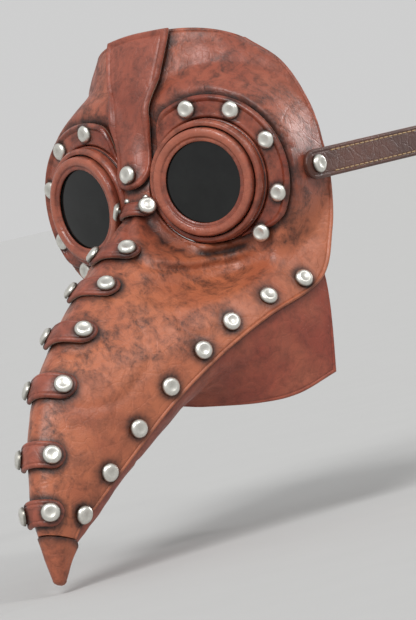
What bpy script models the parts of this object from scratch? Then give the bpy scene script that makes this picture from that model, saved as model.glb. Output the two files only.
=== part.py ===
"""Plague doctor mask: riveted leather shells, goggles and a buckled head strap.

Frame: +Z up, the beak points along -Y, the wearer's left is +X.
Origin: between the eyes, on the plane where the brow pad meets the forehead.
All sizes below are in millimetres; make_object() turns them into metres.
"""
import math

import bmesh
import bpy
import numpy as np
from mathutils import Matrix, Vector

MM = 0.001

# ---------------------------------------------------------------- fits
GAP = 0.35            # between pieces that touch
OVERCUT = 0.5         # how far a cutter runs past what it cuts
BURR_GAP = 0.9        # under a burr where the shell bends sharply
HOLE_CLEARANCE = 0.45  # round a rivet shank, to the hole's corners

# ---------------------------------------------------------------- shells
FACE_WALL = 2.4
JAW_WALL = 2.2
SHELL_END = 12.15     # station where both shells stop and the beak tip starts

# Upper shell, one row per station from the forehead to the beak tip:
# ridge y, ridge z, half width of the ridge, then the free edge x, y, z,
# and how far the side swells beyond a plain curve.
UPPER = np.array([
    (0, 80, 30, 46, 25, 66, 7),
    (-10, 62, 30, 62, 30, 50, 9),
    (-20, 38, 26, 72, 31, 28, 10),
    (-28, 18, 18, 76, 30, 6, 10),
    (-32, 4, 14, 77, 27, -16, 9),
    (-36, -6, 13, 77, 19, -38, 8),
    (-53, -18, 13, 75, 4, -60, 9),
    (-76, -33, 13, 66, -31, -71, 7),
    (-103, -51, 13, 53, -58, -84, 6),
    (-128, -73, 12.5, 39, -84, -101, 5),
    (-146, -99, 11.5, 26, -108, -121, 4),
    (-155, -124, 10, 16, -128, -138, 3),
    (-158, -143, 7.5, 9.5, -142, -150, 2),
    (-156, -172, 2.0, 2.2, -153, -172, 0.6)], float)
BULGE_AT = 0.42       # where along the side the swelling is applied

# Lower shell: station, the far edge x, y, z, then the two curve handles
# (from the seam, from the far edge). x = 0 from NECK_STATION on.
LOWER = np.array([
    (5.8, 68, 8, -107, 0, 1, -14, 3, 0, 16),
    (6.5, 58, -13, -113, 0, 0, -16, 5, -2, 15),
    (7.0, 45, -29, -113, 0, 0, -14, 8, -4, 11),
    (7.6, 22, -43, -109, 0, 2, -12, 14, -4, 6),
    (8.2, 0, -51, -105, -1, 2, -10, 24, -2, 0),
    (9.0, 0, -71, -115, -1, 1, -7, 20, 0, 0),
    (10.0, 0, -97, -131, -1, 1, -5, 13, 0, 0),
    (11.0, 0, -121, -146, -1, 1, -4, 8, 0, 0),
    (12.3, 0, -142, -160, 0, 1, -2, 5, 0, 0),
    (13.0, 0, -151, -173, 0, 0, -1, 2, 0, 0)], float)
JAW_START = 5.8
NECK_STATION = 8.2
SEAM_TUCK = 13.0      # how far the lower shell runs up behind the upper one
SEAM_TUCK_TIP = 9.0   # the same, at the beak tip
TIP_GAP = 0.45        # between the shells' ends and the tip
TIP_END = 12.97       # station of the blunt point
SPIGOT = ((-0.45, 2.8, 5.2), (0, 3.2, 6.0))  # stations past the start, half width, half depth

# ---------------------------------------------------------------- goggles
EYE_X = 39.5
EYE_Y = -27.0
EYE_SPLAY = math.radians(13)
SEAT = -12.0          # shell seat behind the lens plane
SEAT_FADE_MORE = 10.0  # it runs out this much later above and below the eye
SEAT_ABOVE = (5, 45)  # degrees from the nose over which the seat comes in
SEAT_BELOW = (50, 98)
SEAT_FROM_MIDDLE = (1.0, 11.0)   # the seat fades out over the nose bridge
NOSE_TOP = -3.2       # beside the nose the shell stays this far down
RING_SIDES = 26
BARREL_R = 31.0
NOSE_FADE = (BARREL_R + 1.5, BARREL_R + 9.0)
BARREL_BACK = -18.5
BARREL_FRONT = -2.4
GROOVE = -5.6         # bottom of the groove that the bezel turns in
BEZEL_R = BARREL_R - 4.0
NECK_R = BEZEL_R - 2.6
NECK_TOP = -1.7
LENS_R = NECK_R - 2.2
LENS_T = 1.6
LENS_BACK = -3.6
BEZEL_FRONT = 1.2
BEZEL_LIP_R = LENS_R - 1.9
LOCK_R = BARREL_R + 2.8
LOCK_T = 2.6
FLANGE_R = BARREL_R + 11.8
FLANGE_T = 2.2
FLANGE_LIFT = 0.85    # clear of the shell's flats
FLANGE_RIVET_R = BARREL_R + 6.2
SEAT_FLAT = FLANGE_R + 2.2      # flat radius of the seat
SEAT_FADE = SEAT_FLAT + 4.0     # where the seat has run out, at the temple
FLANGE_ANGLES = (96, 58, 21, -21, -56)   # rivets, from the temple, upwards
FLANGE_FROM, FLANGE_TO = -72, 143         # where the crescent runs out
FLANGE_RUN_OUT = (40, 30)                 # degrees over which it does
FLANGE_HORN = 1.0     # width left at the crescent's ends
FLANGE_SINK = 0.2     # how far its rivets' heads sink into it

# ---------------------------------------------------------------- straps on the shell
BAND_T = 2.6
# station, distance from ridge to rivet, width
BANDS = ((6.40, 10.1, 11.0), (7.30, 10.6, 13.0), (8.25, 11.3, 13.5),
         (9.22, 10.6, 13.5), (10.38, 9.2, 13.0), (11.62, 6.9, 12.0))
BAND_END = 6.2        # from a band's rivet to its round end
TAB = (5.02, 6.9, 9.5)
TAB_END = 3.4
TAB_LIFT = 1.0        # clear of the shell where it drops to the goggles
BROW_T = 2.6
BROW_LIFT = 1.2      # clear of the shell, which dips beside the goggles
BROW_END_Z = 3.5
BROW_HALF_LOW = 10.5
BROW_HALF_HIGH = 19.5
BROW_RIVET_Z = 10.8

# ---------------------------------------------------------------- rivets
RIVET_HEAD_R = 4.8
RIVET_HEAD_H = 2.6
RIVET_SHANK_R = 1.5
RIVET_TAIL_R = 2.9
RIVET_TAIL_T = 1.0
RIVET_SIDES = 8
HOLE_SIDES = 6
# station and distance inside the seam edge
SEAM_RIVETS = ((6.12, 8.0), (6.68, 11.0), (7.38, 11.5), (8.05, 10.0),
               (8.80, 9.0), (9.58, 8.4), (10.43, 7.2), (11.50, 4.6))

# ---------------------------------------------------------------- brow pad
PAD_HALF_X = 32.0
PAD_Z = (37.0, 57.0)
PAD_CORNER = 8.0
PAD_FEEL = 3.0        # how far round each place the pad clears the shell

# ---------------------------------------------------------------- head strap
STRAP_W = 15.0
STRAP_T = 2.4
PIVOT_Y = 12.0
PIVOT_Z = -4.0
STRAP_LUG = 0.6 * STRAP_W    # strap end beyond its rivet
LOOP_BACK_Y = 193.0
BAR_R = 1.5
HEEL_Y = 64.0         # buckle bar that carries the short strap
FRAME_LEN = 20.0      # heel bar to front bar
FRAME_HALF_W = STRAP_W / 2 + 3.3
BAR_SPARE = 0.1       # added to the gaps round the bars
# front bar centre, outwards from the strap's inner face
FRONT_BAR_O = STRAP_T + BAR_R + GAP + BAR_SPARE
TAIL_END_Y = 34.0
PRONG_R = 1.1
PRONG_EYE_R = BAR_R + 1.7
PRONG_EYE_W = 3.0
EYE_WALL = 2.2        # leather round the heel bar
# tail over the short strap's eye
TAIL_LIFT = STRAP_T / 2 + BAR_R + EYE_WALL + 2 * GAP + BAR_SPARE
EYE_SKIVE = 0.5       # trimmed off each side of that leather
SLOT_Y = (62.5, 79.5)
STRAP_HOLES_Y = (92.0, 103.0)
STRAP_HOLE_R = 2.0
KEEPER_Y = 49.0
KEEPER_LEN = 8.0
KEEPER_WALL = 1.4

# ---------------------------------------------------------------- colours
LEATHER = ((0.34, 0.11, 0.06), 0.48, 0.0)
DARK_LEATHER = ((0.20, 0.05, 0.03), 0.5, 0.0)
RIVET_METAL = ((0.75, 0.75, 0.70), 0.3, 1.0)
BRASS = ((0.45, 0.33, 0.16), 0.35, 1.0)
GLASS = ((0.02, 0.02, 0.02), 0.05, 0.0)
FOAM = ((0.05, 0.05, 0.05), 0.9, 0.0)


# ================================================================ helpers
def make_material(name, finish):
    colour, roughness, metallic = finish
    material = bpy.data.materials.new(name)
    material.use_nodes = True
    shader = material.node_tree.nodes["Principled BSDF"]
    shader.inputs["Base Color"].default_value = (*colour, 1.0)
    shader.inputs["Roughness"].default_value = roughness
    shader.inputs["Metallic"].default_value = metallic
    return material


def make_mesh(name, points, faces):
    """A closed mesh from points in millimetres."""
    mesh = bpy.data.meshes.new(name)
    mesh.from_pydata([tuple(c * MM for c in p) for p in points], [], faces)
    bm = bmesh.new()
    bm.from_mesh(mesh)
    bmesh.ops.recalc_face_normals(bm, faces=bm.faces)
    bm.to_mesh(mesh)
    bm.free()
    mesh.shade_smooth()
    mesh.set_sharp_from_angle(angle=math.radians(35))
    return mesh


def place(name, mesh, finish=None, matrix=None):
    obj = bpy.data.objects.new(name, mesh)
    bpy.context.collection.objects.link(obj)
    if matrix is not None:
        obj.matrix_world = matrix
    if finish is not None and not mesh.materials:
        mesh.materials.append(make_material(name, finish))
    return obj


def make_object(name, points, faces, finish, matrix=None):
    return place(name, make_mesh(name, points, faces), finish, matrix)


def make_cutter(name, points, faces):
    obj = place(name, make_mesh(name, points, faces))
    obj.hide_render = True
    obj.display_type = "WIRE"
    return obj


def cut(target, cutter, operation="DIFFERENCE"):
    modifier = target.modifiers.new(cutter.name, "BOOLEAN")
    modifier.operation = operation
    modifier.solver = "EXACT"
    modifier.object = cutter


def frame_matrix(point, axis, up=(0, 0, 1)):
    """World matrix whose Z is the axis, at a point in millimetres."""
    z = Vector(axis).normalized()
    x = Vector(up).cross(z)
    if x.length < 1e-3:
        x = Vector((1, 0, 0)).cross(z)
    x.normalize()
    y = z.cross(x)
    matrix = Matrix((x, y, z)).transposed().to_4x4()
    matrix.translation = Vector(point) * MM
    return matrix


def to_world(matrix, points):
    """Points in a local frame, in millimetres, moved to the world frame."""
    return [tuple(matrix @ (Vector(p) * MM) / MM) for p in points]


def loft(rings):
    """Points and faces of a solid through rings of equal length, capped."""
    count = len(rings[0])
    points = [p for ring in rings for p in ring]
    faces = []
    for i in range(len(rings) - 1):
        for j in range(count):
            a, b = i * count + j, i * count + (j + 1) % count
            faces.append((a, b, b + count, a + count))
    faces.append(tuple(range(count)))
    last = (len(rings) - 1) * count
    faces.append(tuple(last + j for j in range(count)))
    return points, faces


def plate(outer, inner):
    """A closed sheet between two grids of points."""
    rows, cols = len(outer), len(outer[0])
    points = [p for row in outer for p in row] + [p for row in inner for p in row]
    shift = rows * cols

    def at(i, j, side):
        return side * shift + i * cols + j

    faces = []
    for i in range(rows - 1):
        for j in range(cols - 1):
            for side in (0, 1):
                faces.append((at(i, j, side), at(i, j + 1, side),
                              at(i + 1, j + 1, side), at(i + 1, j, side)))
    border = [(i, 0) for i in range(rows)]
    border += [(rows - 1, j) for j in range(1, cols)]
    border += [(i, cols - 1) for i in range(rows - 2, -1, -1)]
    border += [(0, j) for j in range(cols - 2, 0, -1)]
    for k, here in enumerate(border):
        there = border[(k + 1) % len(border)]
        faces.append((at(*here, 0), at(*there, 0), at(*there, 1), at(*here, 1)))
    return points, faces


def turned(profile, sides):
    """A solid turned about Z; the profile runs (radius, height) from axis to axis."""
    points = [(0, 0, profile[0][1])]
    faces = []
    rings = profile[1:-1]
    for r, h in rings:
        for k in range(sides):
            a = 2 * math.pi * k / sides
            points.append((r * math.cos(a), r * math.sin(a), h))
    points.append((0, 0, profile[-1][1]))
    last = len(points) - 1
    for k in range(sides):
        n = (k + 1) % sides
        faces.append((0, 1 + k, 1 + n))
        for i in range(len(rings) - 1):
            a, b = 1 + i * sides, 1 + (i + 1) * sides
            faces.append((a + k, b + k, b + n, a + n))
        base = 1 + (len(rings) - 1) * sides
        faces.append((base + k, last, base + n))
    return points, faces


def turned_ring(profile, sides):
    """A ring turned about Z from a closed profile of (radius, height)."""
    points, faces = [], []
    count = len(profile)
    for k in range(sides):
        a = 2 * math.pi * k / sides
        points += [(r * math.cos(a), r * math.sin(a), h) for r, h in profile]
    for k in range(sides):
        n = (k + 1) % sides
        for i in range(count):
            j = (i + 1) % count
            faces.append((k * count + i, n * count + i, n * count + j, k * count + j))
    return points, faces


def merge_parts(parts):
    points, faces = [], []
    for part_points, part_faces in parts:
        start = len(points)
        points += part_points
        faces += [tuple(start + i for i in face) for face in part_faces]
    return points, faces


# ================================================================ surfaces
def spline(table, t):
    """Smooth curve through the rows of a table, one unit of t per row."""
    last = len(table) - 1
    t = min(max(t, 0.0), last - 1e-9)
    i = int(t)
    u = t - i
    p1, p2 = table[i], table[i + 1]
    p0 = table[i - 1] if i > 0 else 2 * p1 - p2
    p3 = table[i + 2] if i + 2 <= last else 2 * p2 - p1
    return 0.5 * (2 * p1 + (p2 - p0) * u + (2 * p0 - 5 * p1 + 4 * p2 - p3) * u * u
                  + (3 * p1 - p0 - 3 * p2 + p3) * u ** 3)


def ease(low, high, value):
    u = min(1.0, max(0.0, (value - low) / (high - low)))
    return u * u * (3 - 2 * u)


EYE_AXIS = np.array([math.sin(EYE_SPLAY), -math.cos(EYE_SPLAY), 0])
EYE_SIDE = np.array([math.cos(EYE_SPLAY), math.sin(EYE_SPLAY), 0])
EYE_CENTRE = np.array([EYE_X, EYE_Y, 0])


def bezier(p0, p1, p2, p3, s):
    return ((1 - s) ** 3 * p0 + 3 * s * (1 - s) ** 2 * p1
            + 3 * s * s * (1 - s) * p2 + s ** 3 * p3)


def flatten_for_goggle(p):
    """Pull the shell onto the goggle's flat seat; beside the nose only keep it below the collar."""
    d = p - EYE_CENTRE
    height = d @ EYE_AXIS
    radial = d - height * EYE_AXIS
    radius = np.linalg.norm(radial)
    from_nose = math.degrees(math.atan2(abs(radial[2]), -(radial @ EYE_SIDE)))
    fade_end = SEAT_FADE + SEAT_FADE_MORE * (radial[2] / max(radius, 1.0)) ** 2
    weight = 1 - ease(SEAT_FLAT, fade_end, radius)
    weight *= ease(*(SEAT_ABOVE if radial[2] > 0 else SEAT_BELOW), from_nose)
    weight *= ease(*SEAT_FROM_MIDDLE, p[0])
    height += weight * (SEAT - height)
    p = p + EYE_AXIS * (height - d @ EYE_AXIS)
    if height > NOSE_TOP:
        weight = (1 - ease(*NOSE_FADE, radius)) * ease(*SEAT_FROM_MIDDLE, p[0])
        p = p + EYE_AXIS * (weight * (NOSE_TOP - height))
    return p


def upper(t, s):
    """Outer face of the upper shell: t along the mask, s from -1 to 1 across it."""
    ridge_y, ridge_z, handle, edge_x, edge_y, edge_z, bulge = spline(UPPER, t)
    ridge = np.array([0, ridge_y, ridge_z])
    side = np.array([handle, ridge_y, ridge_z])
    edge = np.array([edge_x, edge_y, edge_z])
    fall = np.array([0, edge_y - ridge_y, edge_z - ridge_z])
    fall /= np.linalg.norm(fall)
    run = edge - side
    out = np.array([run @ fall, 0, 0]) - run[0] * fall
    out /= np.linalg.norm(out)
    swell = edge - run * BULGE_AT + bulge * out
    p = flatten_for_goggle(bezier(ridge, side, swell, edge, abs(s)))
    return p if s >= 0 else p * (-1, 1, 1)


def upper_normal(t, s):
    """Outward direction of the upper shell."""
    step = 2e-3
    along = upper(t + step, s) - upper(max(t - step, 0), s)
    across = upper(t, min(s + step, 1)) - upper(t, max(s - step, -1))
    normal = np.cross(along, across)
    normal /= np.linalg.norm(normal)
    return normal


def upper_at(t, s, depth):
    """A point at a depth under the outer face; a negative depth is above it."""
    return upper(t, s) - depth * upper_normal(t, s)


def across_at(t, distance, from_edge=False):
    """The s whose distance over the surface from the ridge, or from the edge, is given."""
    steps = np.linspace(0, 1, 81)
    line = np.array([upper(t, s) for s in steps])
    run = np.concatenate([[0], np.cumsum(np.linalg.norm(np.diff(line, axis=0), axis=1))])
    if from_edge:
        distance = run[-1] - distance
    return math.copysign(float(np.interp(abs(distance), run, steps)), distance)


def spot(t, along, across):
    """(t, s) of a place on a band: along it from the ridge, across it in t."""
    s = across_at(t, along)
    rate = np.linalg.norm(upper(t + 0.01, s) - upper(t - 0.01, s)) / 0.02
    return t + across / rate, s


def lower(t, q):
    """Outer face of the lower shell below the seam, q from 0 at the seam to 1."""
    row = spline(LOWER, float(np.interp(t, LOWER[:, 0], range(len(LOWER)))))
    start = upper_at(t, 1.0, FACE_WALL + GAP)
    end = row[1:4].copy()
    near, far = row[4:7].copy(), row[7:10].copy()
    if t >= NECK_STATION - 1e-6:
        end[0] = 0.0
        far[2] = 0.0
    return bezier(start, start + near, end + far, end, q)


# ================================================================ shells
def grid_normals(grid, mirror_last=()):
    """Unit normals of a grid of points by central differences."""
    grid = np.array(grid)
    along = np.gradient(grid, axis=0)
    across = np.gradient(grid, axis=1)
    normals = np.cross(along, across)
    for i in mirror_last:
        normals[i, -1, 0] = 0.0
    return normals / np.linalg.norm(normals, axis=2, keepdims=True)


def face_shell():
    stations = np.linspace(0, SHELL_END, 30)
    crossings = np.linspace(-1, 1, 25)
    outer = [[upper(t, s) for s in crossings] for t in stations]
    inner = [[upper_at(t, s, FACE_WALL) for s in crossings] for t in stations]
    return make_object("face_shell", *plate(outer, inner), LEATHER)


def jaw_row(t):
    tuck = np.interp(t, (JAW_START, SHELL_END), (SEAM_TUCK, SEAM_TUCK_TIP))
    margin = [across_at(t, d, from_edge=True) for d in (tuck, tuck / 2)]
    row = [upper_at(t, s, FACE_WALL + GAP) for s in margin]
    return row + [lower(t, q) for q in np.linspace(0, 1, 7)]


def jaw_shell():
    """Chin, jaw and beak underside in one piece; its margins lie behind the seam."""
    stations = [*np.linspace(JAW_START, NECK_STATION, 7),
                *np.linspace(NECK_STATION, SHELL_END, 11)[1:]]
    rows = [jaw_row(t) for t in stations]
    joined = [i for i, t in enumerate(stations) if t >= NECK_STATION - 1e-6]
    normals = grid_normals(rows, joined)
    inner = np.array(rows) - JAW_WALL * normals
    cols = len(rows[0])
    points, index = [], {}
    for side in (1, -1):
        for layer, grid in enumerate((np.array(rows), inner)):
            for i in range(len(rows)):
                for j in range(cols):
                    shared = side < 0 and j == cols - 1 and i in joined
                    if shared:
                        index[side, layer, i, j] = index[1, layer, i, j]
                        continue
                    index[side, layer, i, j] = len(points)
                    points.append(tuple(grid[i, j] * (side, 1, 1)))
    faces = []
    for side in (1, -1):
        for i in range(len(rows) - 1):
            for j in range(cols - 1):
                for layer in (0, 1):
                    faces.append([index[side, layer, a, b] for a, b in
                                  ((i, j), (i, j + 1), (i + 1, j + 1), (i + 1, j))])
        border = [(i, 0) for i in range(len(rows))]
        border += [(len(rows) - 1, j) for j in range(1, cols)]
        add_rim(faces, index, side, border)
        border = [(0, j) for j in range(cols)] + [(i, cols - 1) for i in range(1, joined[0] + 1)]
        add_rim(faces, index, side, border)
    return make_object("jaw_shell", points, faces, DARK_LEATHER)


def add_rim(faces, index, side, border):
    for here, there in zip(border, border[1:]):
        faces.append([index[side, 0, *here], index[side, 0, *there],
                      index[side, 1, *there], index[side, 1, *here]])


def beak_tip():
    """Solid pointed end; its spigot stands inside the end of both shells."""
    half = 9

    def section(t):
        top = [upper(t, s) for s in np.linspace(-1, 1, half + 1)]
        edge, middle = upper(t, 1), lower(t, 1)
        bottom = []
        for k in range(1, half):
            a = math.pi * k / half
            y, z = edge[1:] + (middle[1:] - edge[1:]) * math.sin(a)
            bottom.append(np.array([edge[0] * math.cos(a), y, z]))
        return top + bottom

    def spigot(t, half_width, half_depth):
        ridge, middle = upper(t, 0), lower(t, 1)
        centre = (ridge * 0.48 + middle * 0.52)
        depth = (ridge - middle) / np.linalg.norm(ridge - middle)
        ring = []
        for k in range(2 * half):
            a = math.pi * (k / half)
            ring.append(centre - np.array([half_width * math.cos(a), 0, 0])
                        + depth * half_depth * math.sin(a))
        return ring

    rate = np.linalg.norm(upper(SHELL_END + 0.01, 0) - upper(SHELL_END - 0.01, 0)) / 0.02
    start = SHELL_END + TIP_GAP / rate
    rings = [spigot(start + back, wide, deep) for back, wide, deep in SPIGOT]
    rings += [section(t) for t in np.linspace(start, TIP_END, 7)]
    return make_object("beak_tip", *loft(rings), LEATHER)


# ================================================================ pieces on the shell
def half_width(along, length, width):
    """Half width of a strap with round ends."""
    radius = width / 2
    over = abs(along) - (length - radius)
    return radius if over <= 0 else math.sqrt(max(radius ** 2 - over ** 2, (radius * 0.3) ** 2))


def band(name, station, rivet_at, width, end, lift):
    length = rivet_at + end
    radius = width / 2
    ends = length - radius * np.array([0.02, 0.2, 0.55, 1.0])
    middle = np.linspace(0, ends[-1], 5)[:-1]
    places = [*-ends, *-middle[::-1][:-1], *middle, *ends[::-1]]
    outer, inner = [], []
    for along in places:
        half = half_width(along, length, width)
        cells = [spot(station, along, half * k) for k in (-1, 0, 1)]
        outer.append([upper_at(t, s, -(lift + BAND_T)) for t, s in cells])
        inner.append([upper_at(t, s, -lift) for t, s in cells])
    return make_object(name, *plate(outer, inner), LEATHER)


def station_at_z(z, s):
    low, high = 0.0, 6.0
    for _ in range(40):
        mid = (low + high) / 2
        low, high = (mid, high) if upper(mid, s)[2] > z else (low, mid)
    return low


def brow_strap():
    """Strap down the middle of the forehead, round at its lower end."""
    radius = BROW_HALF_LOW
    top_z = UPPER[0][1] - 1.0
    drops = radius * np.array([0.03, 0.15, 0.4, 0.75, 1.0])
    heights = [BROW_END_Z + d for d in drops]
    heights += list(np.linspace(heights[-1], top_z, 14)[1:])
    outer, inner = [], []
    for z in heights:
        below = radius - (z - BROW_END_Z)
        half = math.sqrt(max(radius ** 2 - max(below, 0) ** 2, (radius * 0.25) ** 2))
        half += (BROW_HALF_HIGH - BROW_HALF_LOW) * ease(20, top_z, z)
        t = station_at_z(z, 0)
        cells = [across_at(t, half * k) for k in np.linspace(-1, 1, 11)]
        outer.append([upper_at(t, s, -(BROW_LIFT + BROW_T)) for s in cells])
        inner.append([upper_at(t, s, -BROW_LIFT) for s in cells])
    return make_object("brow_strap", *plate(outer, inner), LEATHER)


# ================================================================ goggles
def goggle_matrix(side):
    centre = EYE_CENTRE * (side, 1, 1)
    axis = EYE_AXIS * (side, 1, 1)
    return frame_matrix(centre, axis)


def flange_outer(angle):
    """Outer radius of the crescent at an angle from the temple."""
    inner = BARREL_R + GAP + FLANGE_HORN
    run_out = min(ease(FLANGE_FROM, FLANGE_FROM + FLANGE_RUN_OUT[0], angle),
                  1 - ease(FLANGE_TO - FLANGE_RUN_OUT[1], FLANGE_TO, angle))
    return inner + (FLANGE_R - inner) * run_out


def goggle_flange(name, side, matrix):
    """Crescent collar on the seat, with its five rivets."""
    inside = BARREL_R + GAP
    low, high = SEAT + FLANGE_LIFT, SEAT + FLANGE_LIFT + FLANGE_T
    outer, inner = [], []
    for angle in np.linspace(FLANGE_FROM, FLANGE_TO, 22):
        a = math.radians(angle)
        radii = [inside, (inside + flange_outer(angle)) / 2, flange_outer(angle)]
        outer.append([(side * r * math.cos(a), r * math.sin(a), high) for r in radii])
        inner.append([(side * r * math.cos(a), r * math.sin(a), low) for r in radii])
    flange = make_object(name, *plate(outer, inner), LEATHER, matrix)
    rivets = []
    for angle in FLANGE_ANGLES:
        a = math.radians(angle)
        at = Matrix.Translation(Vector((side * FLANGE_RIVET_R * math.cos(a),
                                        FLANGE_RIVET_R * math.sin(a), high - FLANGE_SINK)) * MM)
        profile = rivet_profile(high - FLANGE_SINK - SEAT + FACE_WALL + BURR_GAP)
        points, faces = turned(profile, RIVET_SIDES)
        rivets.append((to_world(at, points), faces))
    points, faces = merge_parts(rivets)
    cutter = make_cutter(name + "_rivets", to_world(matrix, points), faces)
    cut(flange, cutter, "UNION")


def goggle(side, word):
    matrix = goggle_matrix(side)
    neck_hole = BEZEL_LIP_R + 0.8
    seat = LENS_BACK - GAP
    groove_r = BEZEL_R + 2 * GAP
    eyecup = [(neck_hole, BARREL_BACK), (BARREL_R, BARREL_BACK), (BARREL_R, BARREL_FRONT - 1.5),
              (BARREL_R - 1.2, BARREL_FRONT), (groove_r, BARREL_FRONT), (groove_r, GROOVE),
              (NECK_R, GROOVE), (NECK_R, NECK_TOP),
              (LENS_R + GAP, NECK_TOP), (LENS_R + GAP, seat), (neck_hole, seat)]
    make_object(f"eyecup_{word}", *turned_ring(eyecup, RING_SIDES), LEATHER, matrix)
    lens = [(0, LENS_BACK + LENS_T), (LENS_R - 0.4, LENS_BACK + LENS_T),
            (LENS_R, LENS_BACK + LENS_T - 0.4), (LENS_R, LENS_BACK), (0, LENS_BACK)]
    make_object(f"lens_{word}", *turned(lens, RING_SIDES), GLASS, matrix)
    lip = NECK_TOP + GAP
    bezel = [(BEZEL_LIP_R, lip), (BEZEL_LIP_R, BEZEL_FRONT - 0.8), (BEZEL_LIP_R + 1, BEZEL_FRONT),
             (BEZEL_R - 1.2, BEZEL_FRONT), (BEZEL_R, BEZEL_FRONT - 1.2),
             (BEZEL_R, GROOVE + GAP), (NECK_R + GAP, GROOVE + GAP),
             (NECK_R + GAP, lip)]
    make_object(f"bezel_{word}", *turned_ring(bezel, RING_SIDES), LEATHER, matrix)
    lock_front = SEAT - FACE_WALL - GAP
    lock = [(BARREL_R + GAP, lock_front), (LOCK_R, lock_front),
            (LOCK_R, lock_front - LOCK_T), (BARREL_R + GAP, lock_front - LOCK_T)]
    make_object(f"lock_ring_{word}", *turned_ring(lock, RING_SIDES), DARK_LEATHER, matrix)
    goggle_flange(f"goggle_flange_{word}", side, matrix)
    hole = [(0, 25), (BARREL_R + GAP, 25), (BARREL_R + GAP, BARREL_BACK - 12), (0, BARREL_BACK - 12)]
    points, faces = turned(hole, RING_SIDES)
    return to_world(matrix, points), faces


# ================================================================ rivets
def rivet_profile(grip):
    """Domed head on top, a shank as long as the grip, and a flat burr below."""
    return [(0, RIVET_HEAD_H), (RIVET_HEAD_R * 0.75, RIVET_HEAD_H * 0.7), (RIVET_HEAD_R, 0),
            (RIVET_SHANK_R, 0), (RIVET_SHANK_R, -grip), (RIVET_TAIL_R, -grip),
            (RIVET_TAIL_R, -grip - RIVET_TAIL_T), (0, -grip - RIVET_TAIL_T)]


def surface_reach(t, s, centre, axis, radius, depth, pick):
    """Highest or lowest the surface at a depth comes along an axis, near a point."""
    rate = np.linalg.norm(upper(t + 0.01, s) - upper(t - 0.01, s)) / 0.02
    width = np.linalg.norm(upper(t, s) - upper(t, s - 0.01)) / 0.01
    heights = []
    for ring in (0.0, 0.5, 1.0):
        for k in range(RIVET_SIDES):
            a = 2 * math.pi * k / RIVET_SIDES
            place_t = t + radius * ring * math.cos(a) / rate
            place_s = s + radius * ring * math.sin(a) / width
            place_s = min(1.0, max(-1.0, place_s))
            heights.append((upper_at(place_t, place_s, depth) - centre) @ axis)
    return pick(heights)


def rivet_in(name, t, s, above, below, burr_gap=GAP):
    """A rivet through the shell. above and below are the layers' total heights."""
    centre = upper(t, s)
    axis = upper_normal(t, s)
    top = GAP + surface_reach(t, s, centre, axis, RIVET_HEAD_R, -above, max)
    bottom = surface_reach(t, s, centre, axis, RIVET_TAIL_R, below, min) - burr_gap
    points, faces = turned(rivet_profile(top - bottom), RIVET_SIDES)
    matrix = frame_matrix(centre + axis * top, axis)
    make_object(name, points, faces, RIVET_METAL, matrix)
    reach = RIVET_SHANK_R + HOLE_CLEARANCE
    end = bottom - top - OVERCUT
    shaft = [(0, OVERCUT), (reach, OVERCUT), (reach, end), (0, end)]
    points, faces = turned(shaft, HOLE_SIDES)
    return to_world(matrix, points), faces


# ================================================================ brow pad
def pad_front(lining, x, z):
    """Just behind the deepest place of the shell's lining near (x, z)."""
    near = (abs(lining[:, 0] - x) < PAD_FEEL) & (abs(lining[:, 2] - z) < PAD_FEEL)
    return lining[near, 1].max() + GAP


def brow_pad():
    """Foam pad inside the forehead; its flat back meets the wearer's brow."""
    low, high = PAD_Z
    lining = np.array([upper_at(t, s, FACE_WALL + GAP) for t in np.linspace(0.6, 3.2, 40)
                       for s in np.linspace(-0.75, 0.75, 61)])
    outer, inner = [], []
    for z in np.linspace(low, high, 6):
        over = max(0.0, z - (high - PAD_CORNER), (low + PAD_CORNER) - z)
        half = PAD_HALF_X - PAD_CORNER + math.sqrt(max(PAD_CORNER ** 2 - over ** 2, 0))
        xs = np.linspace(-half, half, 11)
        outer.append([np.array([x, pad_front(lining, x, z), z]) for x in xs])
        inner.append([np.array([x, 0, z]) for x in xs])
    return make_object("brow_pad", *plate(outer, inner), FOAM)


# ================================================================ head strap
def temple_plane():
    """Strap's inner face: just outside the shell wherever the strap end covers it."""
    places = [upper(t, s) for t in np.linspace(2, 5.5, 22) for s in np.linspace(0.85, 1, 16)]
    return GAP + max(p[0] for p in places if p[1] > PIVOT_Y - STRAP_LUG - 1)


STRAP_X = temple_plane()
LOOP_CENTRE_Y = LOOP_BACK_Y - STRAP_X


def loop_place(run):
    """Point on the strap's inner face and its outward direction, run from the left pivot."""
    straight = LOOP_CENTRE_Y - PIVOT_Y
    arc = math.pi * STRAP_X
    if run <= straight:
        return np.array([STRAP_X, PIVOT_Y + run, PIVOT_Z]), np.array([1.0, 0, 0])
    if run >= straight + arc:
        y = LOOP_CENTRE_Y - (run - straight - arc)
        return np.array([-STRAP_X, y, PIVOT_Z]), np.array([-1.0, 0, 0])
    a = (run - straight) / STRAP_X
    out = np.array([math.cos(a), math.sin(a), 0])
    return np.array([0, LOOP_CENTRE_Y, PIVOT_Z]) + STRAP_X * out, out


def ribbon(stops):
    """Strap through stops of (run, lift, half width)."""
    rings = []
    for run, lift, half in stops:
        base, out = loop_place(run)
        low, high = base + out * lift, base + out * (lift + STRAP_T)
        up = np.array([0, 0, half])
        rings.append([low - up, high - up, high + up, low + up])
    return loft(rings)


def run_at_right(y):
    """Run along the loop of a place at y on the right-hand straight."""
    return LOOP_CENTRE_Y - PIVOT_Y + math.pi * STRAP_X + LOOP_CENTRE_Y - y


def lug_stops(direction, start):
    """Round strap end about its rivet."""
    half = STRAP_W / 2
    stops = []
    for share in (0.03, 0.2, 0.5, 1.0):
        out = half * (1 - share)
        stops.append((start + direction * (half * share),
                      0, math.sqrt(half ** 2 - out ** 2) if share < 1 else half))
    return stops


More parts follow.
